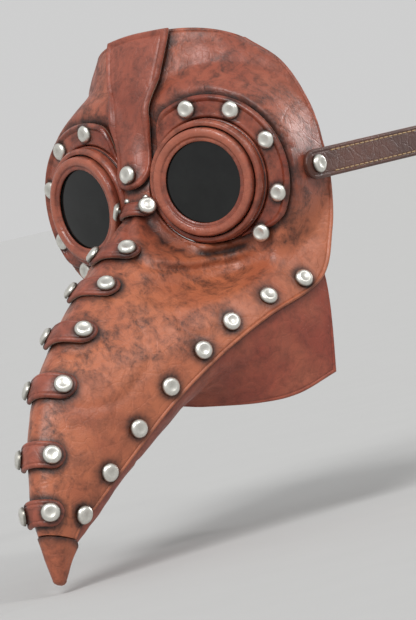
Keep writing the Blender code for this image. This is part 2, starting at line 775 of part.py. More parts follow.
def strap_long():
    half = STRAP_W / 2
    stops = lug_stops(1, -STRAP_LUG)
    straight = LOOP_CENTRE_Y - PIVOT_Y
    stops.append((straight * 0.5, 0, half))
    stops += [(straight + math.pi * STRAP_X * k / 16, 0, half) for k in range(17)]
    front_y = HEEL_Y + FRAME_LEN
    shape = ((front_y - 2, 0), (front_y - 5, 0.9), (HEEL_Y + 9, 3.9), (HEEL_Y + 6, TAIL_LIFT - 0.4),
             (HEEL_Y + 4, TAIL_LIFT), (HEEL_Y - 4, TAIL_LIFT), (HEEL_Y - 6, TAIL_LIFT - 0.5),
             (HEEL_Y - 9, STRAP_T + 2 * GAP), (TAIL_END_Y + half, STRAP_T + GAP))
    stops += [(run_at_right(y), lift, half) for y, lift in shape]
    for share in (0.5, 0.8, 0.97):
        stops.append((run_at_right(TAIL_END_Y + half * (1 - share)), STRAP_T + GAP,
                      half * math.sqrt(1 - share ** 2)))
    return make_object("strap_long", *ribbon(stops), DARK_LEATHER)


def strap_short():
    pivot_run = run_at_right(PIVOT_Y)
    stops = [(pivot_run - run, lift, half) for run, lift, half in lug_stops(1, -STRAP_LUG)]
    stops.append((run_at_right(HEEL_Y - BAR_R - EYE_WALL / 2), 0, STRAP_W / 2))
    return make_object("strap_short", *ribbon(stops), DARK_LEATHER)


def heel_point():
    return np.array([-(STRAP_X + STRAP_T / 2), HEEL_Y, PIVOT_Z])


def upright(centre, radius, half_height, sides=20):
    """Cylinder along Z."""
    rings = []
    for z in (-half_height, half_height):
        angles = [2 * math.pi * (k + 0.5) / sides for k in range(sides)]
        rings.append([centre + np.array([radius * math.cos(a), radius * math.sin(a), z])
                      for a in angles])
    return loft(rings)


def box(low, high):
    points = [(x, y, z) for x in (low[0], high[0]) for y in (low[1], high[1])
              for z in (low[2], high[2])]
    return points, [(0, 1, 3, 2), (4, 6, 7, 5), (0, 4, 5, 1), (2, 3, 7, 6), (0, 2, 6, 4), (1, 5, 7, 3)]


def tube(path, radius, sides, closed):
    """Round rod along a path that lies in the XY plane."""
    path = [np.array(p, float) for p in path]
    rings = []
    for i, p in enumerate(path):
        before = path[i - 1] if closed or i > 0 else p
        after = path[(i + 1) % len(path)] if closed or i < len(path) - 1 else p
        along = (after - before) / np.linalg.norm(after - before)
        side = np.array([-along[1], along[0], 0])
        ring = []
        for k in range(sides):
            a = 2 * math.pi * k / sides
            ring.append(p + radius * (math.cos(a) * side + math.sin(a) * np.array([0, 0, 1.0])))
        rings.append(ring)
    points, faces = loft(rings)
    if closed:
        faces = faces[:-2]
        last = (len(rings) - 1) * sides
        for k in range(sides):
            n = (k + 1) % sides
            faces.append((last + k, last + n, n, k))
    return points, faces


def buckle_matrix():
    """Origin on the heel bar, X towards the front bar, Y up the strap's width, Z outwards."""
    rise = FRONT_BAR_O - STRAP_T / 2
    along = Vector((-rise, math.sqrt(FRAME_LEN ** 2 - rise ** 2), 0)).normalized()
    up = Vector((0, 0, 1))
    out = along.cross(up)
    if out.x > 0:
        up = -up
        out = along.cross(up)
    matrix = Matrix((along, up, out)).transposed().to_4x4()
    matrix.translation = Vector(heel_point()) * MM
    return matrix


def buckle_frame(matrix):
    corner = 3.0
    path = []
    for cx, cy, first in ((FRAME_LEN - corner, FRAME_HALF_W - corner, 0),
                          (corner, FRAME_HALF_W - corner, 90),
                          (corner, -(FRAME_HALF_W - corner), 180),
                          (FRAME_LEN - corner, -(FRAME_HALF_W - corner), 270)):
        for step in (0, 30, 60, 90):
            a = math.radians(first + step)
            path.append((cx + corner * math.cos(a), cy + corner * math.sin(a), 0))
    points, faces = tube(path, BAR_R, 10, closed=True)
    return make_object("buckle_frame", points, faces, BRASS, matrix)


def buckle_prong(matrix):
    bore = BAR_R + GAP
    ring = [(bore, -PRONG_EYE_W / 2), (PRONG_EYE_R, -PRONG_EYE_W / 2),
            (PRONG_EYE_R, PRONG_EYE_W / 2), (bore, PRONG_EYE_W / 2)]
    points, faces = turned_ring(ring, 20)
    points = [(x, z, y) for x, y, z in points]
    prong = make_object("buckle_prong", points, faces, BRASS, matrix)
    rest = BAR_R + GAP + PRONG_R
    start, end = (2.35, 1.95), (FRAME_LEN + 2.2, rest)
    along = np.array([end[0] - start[0], 0, end[1] - start[1]])
    along /= np.linalg.norm(along)
    side = np.array([-along[2], 0, along[0]])
    rings = []
    for x, z in (start, ((start[0] + end[0]) / 2, (start[1] + end[1]) / 2), end):
        centre = np.array([x, 0, z])
        rings.append([centre + PRONG_R * (math.cos(a) * side + math.sin(a) * np.array([0, 1, 0]))
                      for a in np.linspace(0, 2 * math.pi, 9)[:-1]])
    rod_points, rod_faces = loft(rings)
    cut(prong, make_cutter("prong_rod", to_world(matrix, rod_points), rod_faces), "UNION")
    return prong


def strap_keeper():
    inner_x = STRAP_X - GAP
    outer_x = STRAP_X + 2 * STRAP_T + 2 * GAP
    half = STRAP_W / 2 + GAP
    low = (-(outer_x + KEEPER_WALL), KEEPER_Y - KEEPER_LEN / 2, PIVOT_Z - half - KEEPER_WALL)
    high = (-(inner_x - KEEPER_WALL), KEEPER_Y + KEEPER_LEN / 2, PIVOT_Z + half + KEEPER_WALL)
    keeper = make_object("strap_keeper", *box(low, high), DARK_LEATHER)
    cutter = box((-outer_x, low[1] - 1, PIVOT_Z - half), (-inner_x, high[1] + 1, PIVOT_Z + half))
    cut(keeper, make_cutter("keeper_opening", *cutter))
    return keeper


# ================================================================ assembly
def main():
    for obj in list(bpy.data.objects):
        bpy.data.objects.remove(obj, do_unlink=True)

    face = face_shell()
    jaw = jaw_shell()
    beak_tip()
    brow = brow_strap()
    brow_pad()

    eye_holes, flange_holes = [], []
    for side, word in ((1, "left"), (-1, "right")):
        eye_holes.append(goggle(side, word))
        for angle in FLANGE_ANGLES:
            a = math.radians(angle)
            reach = RIVET_SHANK_R + HOLE_CLEARANCE
            shaft = [(0, SEAT + 1), (reach, SEAT + 1), (reach, SEAT - FACE_WALL - 1),
                     (0, SEAT - FACE_WALL - 1)]
            points, faces = turned(shaft, HOLE_SIDES)
            points = [(x + side * FLANGE_RIVET_R * math.cos(a), y + FLANGE_RIVET_R * math.sin(a), z)
                      for x, y, z in points]
            flange_holes.append((to_world(goggle_matrix(side), points), faces))

    holes = {"face": [*flange_holes], "jaw": [], "brow": []}
    bands = []
    for number, (station, at, width) in enumerate((TAB, *BANDS)):
        name = f"beak_band_{number}" if number else "nose_bridge_tab"
        end, lift = (BAND_END, GAP) if number else (TAB_END, TAB_LIFT)
        piece = band(name, station, at, width, end, lift)
        shafts = []
        for side, word in ((1, "left"), (-1, "right")):
            t, s = spot(station, side * at, 0)
            prefix = f"band_rivet_{number}" if number else "bridge_rivet"
            burr_gap = GAP if number else BURR_GAP
            shafts.append(rivet_in(f"{prefix}_{word}", t, s, lift + BAND_T, FACE_WALL, burr_gap))
        bands.append((piece, shafts))
        holes["face"] += shafts
    for number, (station, inset) in enumerate(SEAM_RIVETS, 1):
        s = across_at(station, inset, from_edge=True)
        for side, word in ((1, "left"), (-1, "right")):
            shaft = rivet_in(f"seam_rivet_{number}_{word}", station, side * s, 0,
                             FACE_WALL + GAP + JAW_WALL)
            holes["face"].append(shaft)
            holes["jaw"].append(shaft)
    shaft = rivet_in("brow_rivet", station_at_z(BROW_RIVET_Z, 0), 0, BROW_LIFT + BROW_T, FACE_WALL)
    holes["face"].append(shaft)
    holes["brow"].append(shaft)

    long_strap, short_strap = strap_long(), strap_short()
    for side, word, strap in ((1, "left", long_strap), (-1, "right", short_strap)):
        temple_t, temple_s = temple_place()
        shaft = temple_rivet(f"temple_rivet_{word}", temple_t, temple_s, side)
        holes["face"].append(shaft)
        cut(strap, make_cutter(f"temple_hole_{word}", *shaft))
    matrix = buckle_matrix()
    buckle_frame(matrix)
    buckle_prong(matrix)
    strap_keeper()
    finish_straps(long_strap, short_strap)

    cut(face, make_cutter("eye_holes", *merge_parts(eye_holes)))
    cut(face, make_cutter("face_rivet_holes", *merge_parts(holes["face"])))
    cut(jaw, make_cutter("jaw_rivet_holes", *merge_parts(holes["jaw"])))
    cut(brow, make_cutter("brow_rivet_hole", *merge_parts(holes["brow"])))
    for piece, shafts in bands:
        cut(piece, make_cutter(piece.name + "_holes", *merge_parts(shafts)))


def temple_place():
    """Station and crossing of the shell at the strap's pivot."""
    best = None
    for t in np.linspace(2.5, 5.0, 60):
        for s in np.linspace(0.85, 1, 61):
            p = upper(t, s)
            miss = (p[1] - PIVOT_Y) ** 2 + (p[2] - PIVOT_Z) ** 2
            if best is None or miss < best[0]:
                best = (miss, t, s)
    return best[1], best[2]


def temple_rivet(name, t, s, side):
    """Rivet along X through the strap end and the shell; the strap turns on it."""
    centre = upper(t, s) * (side, 1, 1)
    axis = np.array([side, 0, 0])
    top = STRAP_X + STRAP_T + GAP
    bottom = abs(centre[0]) + surface_reach(t, side * s, centre, axis, RIVET_TAIL_R,
                                            FACE_WALL, min) - BURR_GAP
    points, faces = turned(rivet_profile(top - bottom), RIVET_SIDES)
    matrix = frame_matrix((side * top, PIVOT_Y, PIVOT_Z), axis)
    make_object(name, points, faces, RIVET_METAL, matrix)
    reach = RIVET_SHANK_R + HOLE_CLEARANCE
    end = bottom - top - OVERCUT
    shaft = [(0, OVERCUT), (reach, OVERCUT), (reach, end), (0, end)]
    points, faces = turned(shaft, RIVET_SIDES)
    return to_world(matrix, points), faces


def finish_straps(long_strap, short_strap):
    heel = heel_point()
    half = STRAP_W / 2
    eye = upright(heel, BAR_R + GAP + EYE_WALL, half - EYE_SKIVE)
    cut(short_strap, make_cutter("heel_eye", *eye), "UNION")
    cut(short_strap, make_cutter("heel_bore", *upright(heel, BAR_R + GAP, half + 1, 17)))
    slot_half = PRONG_EYE_W / 2 + GAP
    swing = BAR_R + GAP + EYE_WALL + 1.5
    gap = box(heel - (swing, swing, slot_half), heel + (swing, swing, slot_half))
    cut(short_strap, make_cutter("prong_gap", *gap))
    low = (-(STRAP_X + 3 * STRAP_T + TAIL_LIFT), SLOT_Y[0], PIVOT_Z - slot_half)
    high = (-(STRAP_X - 1), SLOT_Y[1], PIVOT_Z + slot_half)
    cut(long_strap, make_cutter("prong_slot", *box(low, high)))
    for number, y in enumerate(STRAP_HOLES_Y):
        matrix = frame_matrix((-STRAP_X - STRAP_T / 2, y, PIVOT_Z), (-1, 0, 0))
        profile = [(0, 4), (STRAP_HOLE_R, 4), (STRAP_HOLE_R, -4), (0, -4)]
        points, faces = turned(profile, 12)
        cut(long_strap, make_cutter(f"strap_hole_{number}", to_world(matrix, points), faces))


main()
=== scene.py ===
"""Looks of a plague doctor mask in riveted, antiqued leather.

Frame: +Z up, the beak points along -Y, the wearer's left is +X. The design sizes
below are in millimetres and repeat the working model's; new_mesh() turns them into metres.
"""

import math

import bmesh
import bpy
import numpy as np
from mathutils import Matrix, Vector, kdtree, noise


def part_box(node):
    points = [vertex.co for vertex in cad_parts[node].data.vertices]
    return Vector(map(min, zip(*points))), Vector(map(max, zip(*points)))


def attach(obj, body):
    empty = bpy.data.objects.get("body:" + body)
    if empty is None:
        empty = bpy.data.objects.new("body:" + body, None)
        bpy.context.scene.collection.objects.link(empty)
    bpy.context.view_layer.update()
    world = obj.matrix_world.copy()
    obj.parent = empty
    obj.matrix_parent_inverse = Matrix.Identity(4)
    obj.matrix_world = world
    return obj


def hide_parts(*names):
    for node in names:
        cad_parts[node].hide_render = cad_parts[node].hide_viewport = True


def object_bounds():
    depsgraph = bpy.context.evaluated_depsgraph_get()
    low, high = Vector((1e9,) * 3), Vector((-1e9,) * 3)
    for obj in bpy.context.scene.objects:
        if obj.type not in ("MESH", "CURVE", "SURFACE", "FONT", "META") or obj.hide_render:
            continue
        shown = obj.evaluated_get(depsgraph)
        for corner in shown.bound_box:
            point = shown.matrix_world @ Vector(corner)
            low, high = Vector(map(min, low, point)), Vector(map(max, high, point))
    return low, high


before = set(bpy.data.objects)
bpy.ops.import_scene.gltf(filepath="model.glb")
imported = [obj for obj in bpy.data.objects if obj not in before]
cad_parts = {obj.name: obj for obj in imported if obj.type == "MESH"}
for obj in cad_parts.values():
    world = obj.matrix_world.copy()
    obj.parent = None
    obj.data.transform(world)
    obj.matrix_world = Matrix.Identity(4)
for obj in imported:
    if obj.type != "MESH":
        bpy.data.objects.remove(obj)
cad_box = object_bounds()
MM = 0.001

# ---------------------------------------------------------------- the design's surfaces
GAP = 0.35
FACE_WALL = 2.4
JAW_WALL = 2.2
SHELL_END = 12.15
TIP_END = 12.97
JAW_START = 5.8
NECK_STATION = 8.2
SEAM_TUCK = (13.0, 9.0)
# ridge y, ridge z, half width of the ridge, free edge x, y, z, swelling of the side
UPPER = np.array([
    (0, 80, 30, 46, 25, 66, 7),
    (-10, 62, 30, 62, 30, 50, 9),
    (-20, 38, 26, 72, 31, 28, 10),
    (-28, 18, 18, 76, 30, 6, 10),
    (-32, 4, 14, 77, 27, -16, 9),
    (-36, -6, 13, 77, 19, -38, 8),
    (-53, -18, 13, 75, 4, -60, 9),
    (-76, -33, 13, 66, -31, -71, 7),
    (-103, -51, 13, 53, -58, -84, 6),
    (-128, -73, 12.5, 39, -84, -101, 5),
    (-146, -99, 11.5, 26, -108, -121, 4),
    (-155, -124, 10, 16, -128, -138, 3),
    (-158, -143, 7.5, 9.5, -142, -150, 2),
    (-156, -172, 2.0, 2.2, -153, -172, 0.6)], float)
BULGE_AT = 0.42
# station, far edge x, y, z, curve handle at the seam, curve handle at the far edge
LOWER = np.array([
    (5.8, 68, 8, -107, 0, 1, -14, 3, 0, 16),
    (6.5, 58, -13, -113, 0, 0, -16, 5, -2, 15),
    (7.0, 45, -29, -113, 0, 0, -14, 8, -4, 11),
    (7.6, 22, -43, -109, 0, 2, -12, 14, -4, 6),
    (8.2, 0, -51, -105, -1, 2, -10, 24, -2, 0),
    (9.0, 0, -71, -115, -1, 1, -7, 20, 0, 0),
    (10.0, 0, -97, -131, -1, 1, -5, 13, 0, 0),
    (11.0, 0, -121, -146, -1, 1, -4, 8, 0, 0),
    (12.3, 0, -142, -160, 0, 1, -2, 5, 0, 0),
    (13.0, 0, -151, -173, 0, 0, -1, 2, 0, 0)], float)

# ---------------------------------------------------------------- goggles
EYE_X, EYE_Y = 39.5, -27.0
EYE_SPLAY = math.radians(13)
SEAT = -12.0
SEAT_FLAT, SEAT_FADE, SEAT_FADE_MORE = 45.0, 49.0, 10.0
SEAT_ABOVE, SEAT_BELOW = (5, 45), (50, 98)
SEAT_FROM_MIDDLE = (1.0, 11.0)
NOSE_TOP, NOSE_FADE = -3.2, (32.5, 40.0)
BARREL_R, BARREL_BACK, BARREL_FRONT = 31.0, -18.5, -2.4
GROOVE = -5.6
NECK_R, NECK_TOP = 24.4, -1.7
LENS_R, LENS_T, LENS_BACK = 22.2, 1.6, -3.6
BEZEL_R, BEZEL_FRONT, BEZEL_LIP_R = 27.0, 1.2, 20.3
LOCK_R, LOCK_T = 33.8, 2.6
FLANGE_R, FLANGE_T, FLANGE_LIFT = 42.8, 2.2, 0.85
FLANGE_RIVET_R = 37.2
FLANGE_ANGLES = (96, 58, 21, -21, -56)
FLANGE_FROM, FLANGE_TO = -72, 143
FLANGE_RUN_OUT, FLANGE_HORN = (40, 30), 1.0

# ---------------------------------------------------------------- bands, rivets, pad
BAND_T, BAND_END = 2.6, 6.2
# station, distance from ridge to rivet, width
BANDS = ((6.40, 10.1, 11.0), (7.30, 10.6, 13.0), (8.25, 11.3, 13.5),
         (9.22, 10.6, 13.5), (10.38, 9.2, 13.0), (11.62, 6.9, 12.0))
TAB, TAB_END, TAB_LIFT = (5.02, 6.9, 9.5), 3.4, 1.0
STUD = (4.45, 6.4)    # the small stud between bridge and goggle: station, from the ridge
BROW_T, BROW_LIFT = 2.6, 1.2
BROW_END_Z, BROW_TOP_Z = 3.5, 79.0
BROW_HALF_LOW, BROW_HALF_HIGH = 10.5, 19.5
BROW_RIVET_Z = 10.8
RIVET_HEAD_R, RIVET_HEAD_H = 4.8, 2.6
RIVET_SHANK_R, RIVET_TAIL_R, RIVET_TAIL_T = 1.5, 2.9, 1.0
BURR_GAP = 0.9
# station and distance inside the seam edge
SEAM_RIVETS = ((6.12, 8.0), (6.68, 11.0), (7.38, 11.5), (8.05, 10.0),
               (8.80, 9.0), (9.58, 8.4), (10.43, 7.2), (11.50, 4.6))
PAD_HALF_X, PAD_Z, PAD_CORNER = 32.0, (37.0, 57.0), 8.0

# ---------------------------------------------------------------- head strap
STRAP_W, STRAP_T = 15.0, 2.4
PIVOT_Y, PIVOT_Z = 12.0, -4.0
STRAP_LUG = 9.0
LOOP_BACK_Y = 193.0
STRAP_X = 80.153
LOOP_CENTRE_Y = LOOP_BACK_Y - STRAP_X
BAR_R = 1.5
HEEL_Y, FRAME_LEN, FRAME_HALF_W, FRONT_BAR_O = 64.0, 20.0, 10.8, 4.35
TAIL_END_Y, TAIL_LIFT = 34.0, 5.7
PRONG_R, PRONG_EYE_R, PRONG_EYE_W = 1.1, 3.2, 3.0
EYE_WALL, EYE_SKIVE = 2.2, 0.5
SLOT_Y = (62.5, 79.5)
STRAP_HOLES_Y, STRAP_HOLE_R = (92.0, 103.0), 2.0
KEEPER_Y, KEEPER_LEN, KEEPER_WALL = 49.0, 8.0, 1.4
FRAME_CORNER, KEEPER_CORNER = 3.0, 0.5
HEEL = np.array([-(STRAP_X + STRAP_T / 2), HEEL_Y, PIVOT_Z])

# ---------------------------------------------------------------- mesh detail
TURNED_SIDES = 128    # sides of the goggles' turned rings
DIRT_AND_SHADE_BY_RIVET = 1.6    # how far the darkening beside a rivet on a band reaches: polish and painted shade
PAD_BACK_Y = -0.8     # the pad's flat face, just in front of the brow
PAD_SEAM_Y = -2.2     # its bound seam
PAD_BINDING_R = 0.75
STITCH_ROWS = (-5.2, 5.2)

# ---------------------------------------------------------------- studio
CAMERA_RIGHT = Vector((0.7635, 0.6049, -0.2261))
CAMERA_BACK = Vector((0.6266, -0.7787, 0.0326))
CAMERA_AWAY, CAMERA_LENS = 2.0, 232.0
AIM_RIGHT, AIM_DOWN = 0.033, 0.057    # aim beside the bridge of the nose, in metres
FLOOR_R, FLOOR_DROP = 40.0, 0.004
SKY_STRENGTH = 0.62
# name, offset right, up and towards the camera, angular size in degrees, strength
SUNS = (("key", (-0.55, 0.85, 1.0), 24, 2.0), ("rim", (0.9, 0.5, -0.9), 14, 0.8),
        ("glint", (0.7, 1.1, 0.9), 9, 0.55))

# ---------------------------------------------------------------- leather working
EDGE_STOPS = np.array([0, 0.12, 0.35, 0.7, 1.1, 1.5, 1.85, 2.15, 2.45, 2.8, 3.4, 4.2])
CREASE_IN, CREASE_WIDTH, CREASE_DEPTH = 2.15, 0.38, 0.34    # line pressed beside a cut edge
DIRT_AND_SHADE_REACH = 2.3     # how far the darkening beside a piece reaches: polish, dirt and painted shade
ROLL_CREASE = 36.2    # radius of the crease in the hide pushed up round each goggle


# ================================================================ surfaces
def spline(table, t):
    """Smooth curve through the rows of a table, one unit of t per row."""
    t = np.clip(np.asarray(t, float), 0.0, len(table) - 1 - 1e-9)
    i = t.astype(int)
    u = (t - i)[..., None]
    padded = np.vstack([2 * table[0] - table[1], table, 2 * table[-1] - table[-2]])
    p0, p1, p2, p3 = (padded[i + k] for k in range(4))
    return 0.5 * (2 * p1 + (p2 - p0) * u + (2 * p0 - 5 * p1 + 4 * p2 - p3) * u * u
                  + (3 * p1 - p0 - 3 * p2 + p3) * u ** 3)


def ease(low, high, value):
    u = np.clip((value - low) / (high - low), 0.0, 1.0)
    return u * u * (3 - 2 * u)


def unit(v):
    return v / np.linalg.norm(v, axis=-1, keepdims=True)


def bezier(p0, p1, p2, p3, s):
    return ((1 - s) ** 3 * p0 + 3 * s * (1 - s) ** 2 * p1
            + 3 * s * s * (1 - s) * p2 + s ** 3 * p3)


EYE_AXIS = np.array([math.sin(EYE_SPLAY), -math.cos(EYE_SPLAY), 0])
EYE_SIDE = np.array([math.cos(EYE_SPLAY), math.sin(EYE_SPLAY), 0])
EYE_CENTRE = np.array([EYE_X, EYE_Y, 0])


def eye_polar(p):
    """Height along the left goggle's axis, the rest of the offset, and its length."""
    d = p - EYE_CENTRE
    height = d @ EYE_AXIS
    radial = d - height[..., None] * EYE_AXIS
    return height, radial, np.linalg.norm(radial, axis=-1)


def flatten_for_goggle(p):
    """Pull the shell onto the goggle's flat seat; beside the nose keep it below the collar."""
    height, radial, radius = eye_polar(p)
    from_nose = np.degrees(np.arctan2(abs(radial[..., 2]), -(radial @ EYE_SIDE)))
    fade_end = SEAT_FADE + SEAT_FADE_MORE * (radial[..., 2] / np.maximum(radius, 1.0)) ** 2
    weight = 1 - ease(SEAT_FLAT, fade_end, radius)
    weight *= np.where(radial[..., 2] > 0, ease(*SEAT_ABOVE, from_nose),
                       ease(*SEAT_BELOW, from_nose))
    weight *= ease(*SEAT_FROM_MIDDLE, p[..., 0])
    seated = height + weight * (SEAT - height)
    p = p + EYE_AXIS * (seated - height)[..., None]
    weight = (1 - ease(*NOSE_FADE, radius)) * ease(*SEAT_FROM_MIDDLE, p[..., 0])
    return p - EYE_AXIS * (weight * np.maximum(seated - NOSE_TOP, 0))[..., None]


def upper(t, s):
    """Outer face of the upper shell: t along the mask, s from -1 to 1 across it."""
    t, s = np.broadcast_arrays(np.asarray(t, float), np.asarray(s, float))
    row = spline(UPPER, t)
    zero = np.zeros_like(t)
    ridge = np.stack([zero, row[..., 0], row[..., 1]], -1)
    side = np.stack([row[..., 2], row[..., 0], row[..., 1]], -1)
    edge = row[..., 3:6]
    fall = unit((edge - ridge) * (0, 1, 1))
    run = edge - side
    out = np.stack([(run * fall).sum(-1), zero, zero], -1) - run[..., :1] * fall
    swell = edge - run * BULGE_AT + row[..., 6:7] * unit(out)
    p = flatten_for_goggle(bezier(ridge, side, swell, edge, abs(s)[..., None]))
    return p * np.stack([np.where(s < 0, -1.0, 1.0), zero + 1, zero + 1], -1)


def upper_normal(t, s):
    step = 2e-3
    t, s = np.broadcast_arrays(np.asarray(t, float), np.asarray(s, float))
    along = upper(t + step, s) - upper(np.maximum(t - step, 0), s)
    across = upper(t, np.minimum(s + step, 1)) - upper(t, np.maximum(s - step, -1))
    return unit(np.cross(along, across))


def upper_at(t, s, height):
    """A point at a height over the upper shell's outer face."""
    t, s, height = np.broadcast_arrays(*(np.asarray(v, float) for v in (t, s, height)))
    return upper(t, s) + height[..., None] * upper_normal(t, s)


def across_at(t, distance, from_edge=False):
    """The s whose distance over the surface from the ridge, or from the edge, is given."""
    steps = np.linspace(0, 1, 161)
    line = upper(t, steps)
    run = np.concatenate([[0], np.cumsum(np.linalg.norm(np.diff(line, axis=0), axis=1))])
    if from_edge:
        distance = run[-1] - distance
    return np.interp(np.abs(distance), run, steps) * np.where(np.asarray(distance) < 0, -1, 1)


def spot(t, along, across):
    """(t, s) of a place on a band: along it from the ridge, across it in t."""
    s = across_at(t, along)
    rate = np.linalg.norm(upper(t + 0.01, s) - upper(t - 0.01, s), axis=-1) / 0.02
    return t + across / rate, s


def lower(t, q):
    """Outer face of the lower shell below the seam, q from 0 at the seam to 1."""
    t, q = np.broadcast_arrays(np.asarray(t, float), np.asarray(q, float))
    row = spline(LOWER, np.interp(t, LOWER[:, 0], range(len(LOWER))))
    start = upper_at(t, 1.0, -(FACE_WALL + GAP))
    joined = (t >= NECK_STATION - 1e-6)[..., None]
    end = np.where(joined, row[..., 1:4] * (0, 1, 1), row[..., 1:4])
    near = row[..., 4:7]
    far = np.where(joined, row[..., 7:10] * (1, 1, 0), row[..., 7:10])
    return bezier(start, start + near, end + far, end, q[..., None])


def station_at_z(z, s=0.0):
    low, high = 0.0, 6.0
    for _ in range(40):
        mid = (low + high) / 2
        low, high = (mid, high) if upper(mid, s)[2] > z else (low, mid)
    return low


def folds(points, size, amount, seed=0.0):
    """Long wandering creases where the wet hide was pinched, in millimetres."""
    return -amount * np.exp(-(crumple(points, size, 1.0, seed) / 0.10) ** 2)


def crumple(points, size, amount, seed=0.0):
    """Slow uneven swelling of worked leather, in millimetres, at each point."""
    flat = np.asarray(points).reshape(-1, 3) / size + seed
    values = [noise.noise(Vector(p)) for p in flat]
    return amount * np.array(values).reshape(np.shape(points)[:-1])


# ================================================================ mesh helpers
def new_mesh(name, points, faces, materials, inner_faces=(), sharp=40.0):
    """A smooth-shaded mesh from points in millimetres; inner faces take the second material."""
    mesh = bpy.data.meshes.new(name)
    mesh.from_pydata([tuple(c * MM for c in p) for p in points], [], faces)
    for material in materials:
        mesh.materials.append(material)
    for index in inner_faces:
        mesh.polygons[index].material_index = 1
    bm = bmesh.new()
    bm.from_mesh(mesh)
    bmesh.ops.remove_doubles(bm, verts=bm.verts, dist=2e-6)
    bmesh.ops.dissolve_degenerate(bm, edges=bm.edges, dist=1e-6)
    bmesh.ops.recalc_face_normals(bm, faces=bm.faces)
    bm.to_mesh(mesh)
    bm.free()
    mesh.shade_smooth()
    mesh.set_sharp_from_angle(angle=math.radians(sharp))
    return mesh


def piece(name, mesh, body="mask", node=None, matrix=None):
    """Link a finished mesh as a piece that rides on a body."""
    if matrix is not None:
        mesh.transform(matrix)
    obj = bpy.data.objects.new(name, mesh)
    bpy.context.scene.collection.objects.link(obj)
    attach(obj, body)
    if node:
        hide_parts(node)
    return obj


def mark(mesh, layer, values):
    """Store one number per point for the material to read."""
    mesh.attributes.new(layer, "FLOAT", "POINT").data.foreach_set("value", np.asarray(values, float))


def mesh_points(mesh):
    points = np.empty(len(mesh.vertices) * 3)
    mesh.vertices.foreach_get("co", points)
    return points.reshape(-1, 3) / MM


def mark_dirt_and_shade(mesh, lines, reach=DIRT_AND_SHADE_REACH):
    """Darken beside the pieces that lie on this one: dirt and painted shade."""
    tree = kdtree.KDTree(len(lines))
    for index, p in enumerate(lines):
        tree.insert(p, index)
    tree.balance()
    away = np.array([tree.find(p)[2] for p in mesh_points(mesh)])
    mark(mesh, "dirt_and_shade", np.exp(-(away / reach) ** 2))


def rounded_edge(d, wall):
    """How far a face drops at a distance d from a cut edge that is rounded over."""
    r = wall * 0.46
    return r - np.sqrt(np.maximum(r * r - np.clip(r - d, 0, r) ** 2, 0))


def crease(d):
    return CREASE_DEPTH * np.exp(-((d - CREASE_IN) / CREASE_WIDTH) ** 2)


def slab(name, outer, inner, materials, keep=None, middle_joined=False, sharp=40.0):
    """Closed sheet between two grids; rims close it wherever a cell has no neighbour."""
    rows, cols = outer.shape[:2]
    keep = np.ones((rows - 1, cols - 1), bool) if keep is None else keep
    points = [*outer.reshape(-1, 3), *inner.reshape(-1, 3)]
    shift = rows * cols
    faces, inside = [], []

    def rim(a, b):
        if middle_joined and abs(points[a][0]) + abs(points[b][0]) < 1e-6:
            return
        faces.append((a, b, b + shift, a + shift))

    for i in range(rows - 1):
        for j in range(cols - 1):
            if not keep[i, j]:
                continue
            a, b = i * cols + j, (i + 1) * cols + j
            faces.append((a, a + 1, b + 1, b))
            inside.append(len(faces))
            faces.append((shift + b, shift + b + 1, shift + a + 1, shift + a))
            for used, ends in ((i > 0 and keep[i - 1, j], (a, a + 1)),
                               (i < rows - 2 and keep[i + 1, j], (b, b + 1)),
                               (j > 0 and keep[i, j - 1], (a, b)),
                               (j < cols - 2 and keep[i, j + 1], (a + 1, b + 1))):
                if not used:
                    rim(*ends)
    return new_mesh(name, points, faces, materials, inside, sharp)


def lathe(profile, sides, closed):
    """Turn a profile of (radius, height) about Z. An open one starts and ends on the axis."""
    count = len(profile)
    angles = 2 * math.pi * np.arange(sides) / sides
    points = [(r * math.cos(a), r * math.sin(a), h) for a in angles for r, h in profile]
    faces = []
    for k in range(sides):
        n = (k + 1) % sides
        for i in range(count if closed else count - 1):
            j = (i + 1) % count
            ring = [k * count + i, n * count + i, n * count + j, k * count + j]
            if not closed and i == 0:
                ring = [i, n * count + j, k * count + j]
            if not closed and i == count - 2:
                ring = [k * count + i, n * count + i, j]
            faces.append(ring)
    return points, faces


def filleted(profile, radius, closed, steps=4):
    """Round each corner of a profile; radius may be one number or one per corner."""
    profile = [np.array(p, float) for p in profile]
    count = len(profile)
    radii = radius if isinstance(radius, (list, tuple)) else [radius] * count
    made = []
    for i, p in enumerate(profile):
        if not closed and i in (0, count - 1):
            made.append(tuple(p))
            continue
        before, after = profile[i - 1] - p, profile[(i + 1) % count] - p
        reach = min(radii[i], 0.45 * np.linalg.norm(before), 0.45 * np.linalg.norm(after))
        a, b = p + unit(before) * reach, p + unit(after) * reach
        for u in np.linspace(0, 1, steps + 1):
            made.append(tuple((1 - u) ** 2 * a + 2 * u * (1 - u) * p + u * u * b))
    return made


def loft(rings, closed=False):
    """Points and faces of a solid through rings of equal length."""
    count = len(rings[0])
    points = [p for ring in rings for p in ring]
    faces = []
    for i in range(len(rings) if closed else len(rings) - 1):
        n = (i + 1) % len(rings)
        for j in range(count):
            k = (j + 1) % count
            faces.append((i * count + j, i * count + k, n * count + k, n * count + j))
    if not closed:
        faces.append(tuple(range(count)))
        faces.append(tuple((len(rings) - 1) * count + j for j in range(count)))
    return points, faces


def round_cornered(half_x, half_y, corner, steps):
    """Path round a rectangle about the origin, with round corners."""
    path = []
    for sx, sy, first in ((1, 1, 0), (-1, 1, 90), (-1, -1, 180), (1, -1, 270)):
        for step in np.linspace(0, 90, steps):
            a = math.radians(first + step)
            path.append((sx * (half_x - corner) + corner * math.cos(a),
                         sy * (half_y - corner) + corner * math.sin(a)))
    return path


def ring_round(centre, side, up, radius, count):
    """Points of a circle, or of an oval, round a centre."""
    return [centre + radius * (math.cos(a) * side + math.sin(a) * up)
            for a in 2 * math.pi * np.arange(count) / count]


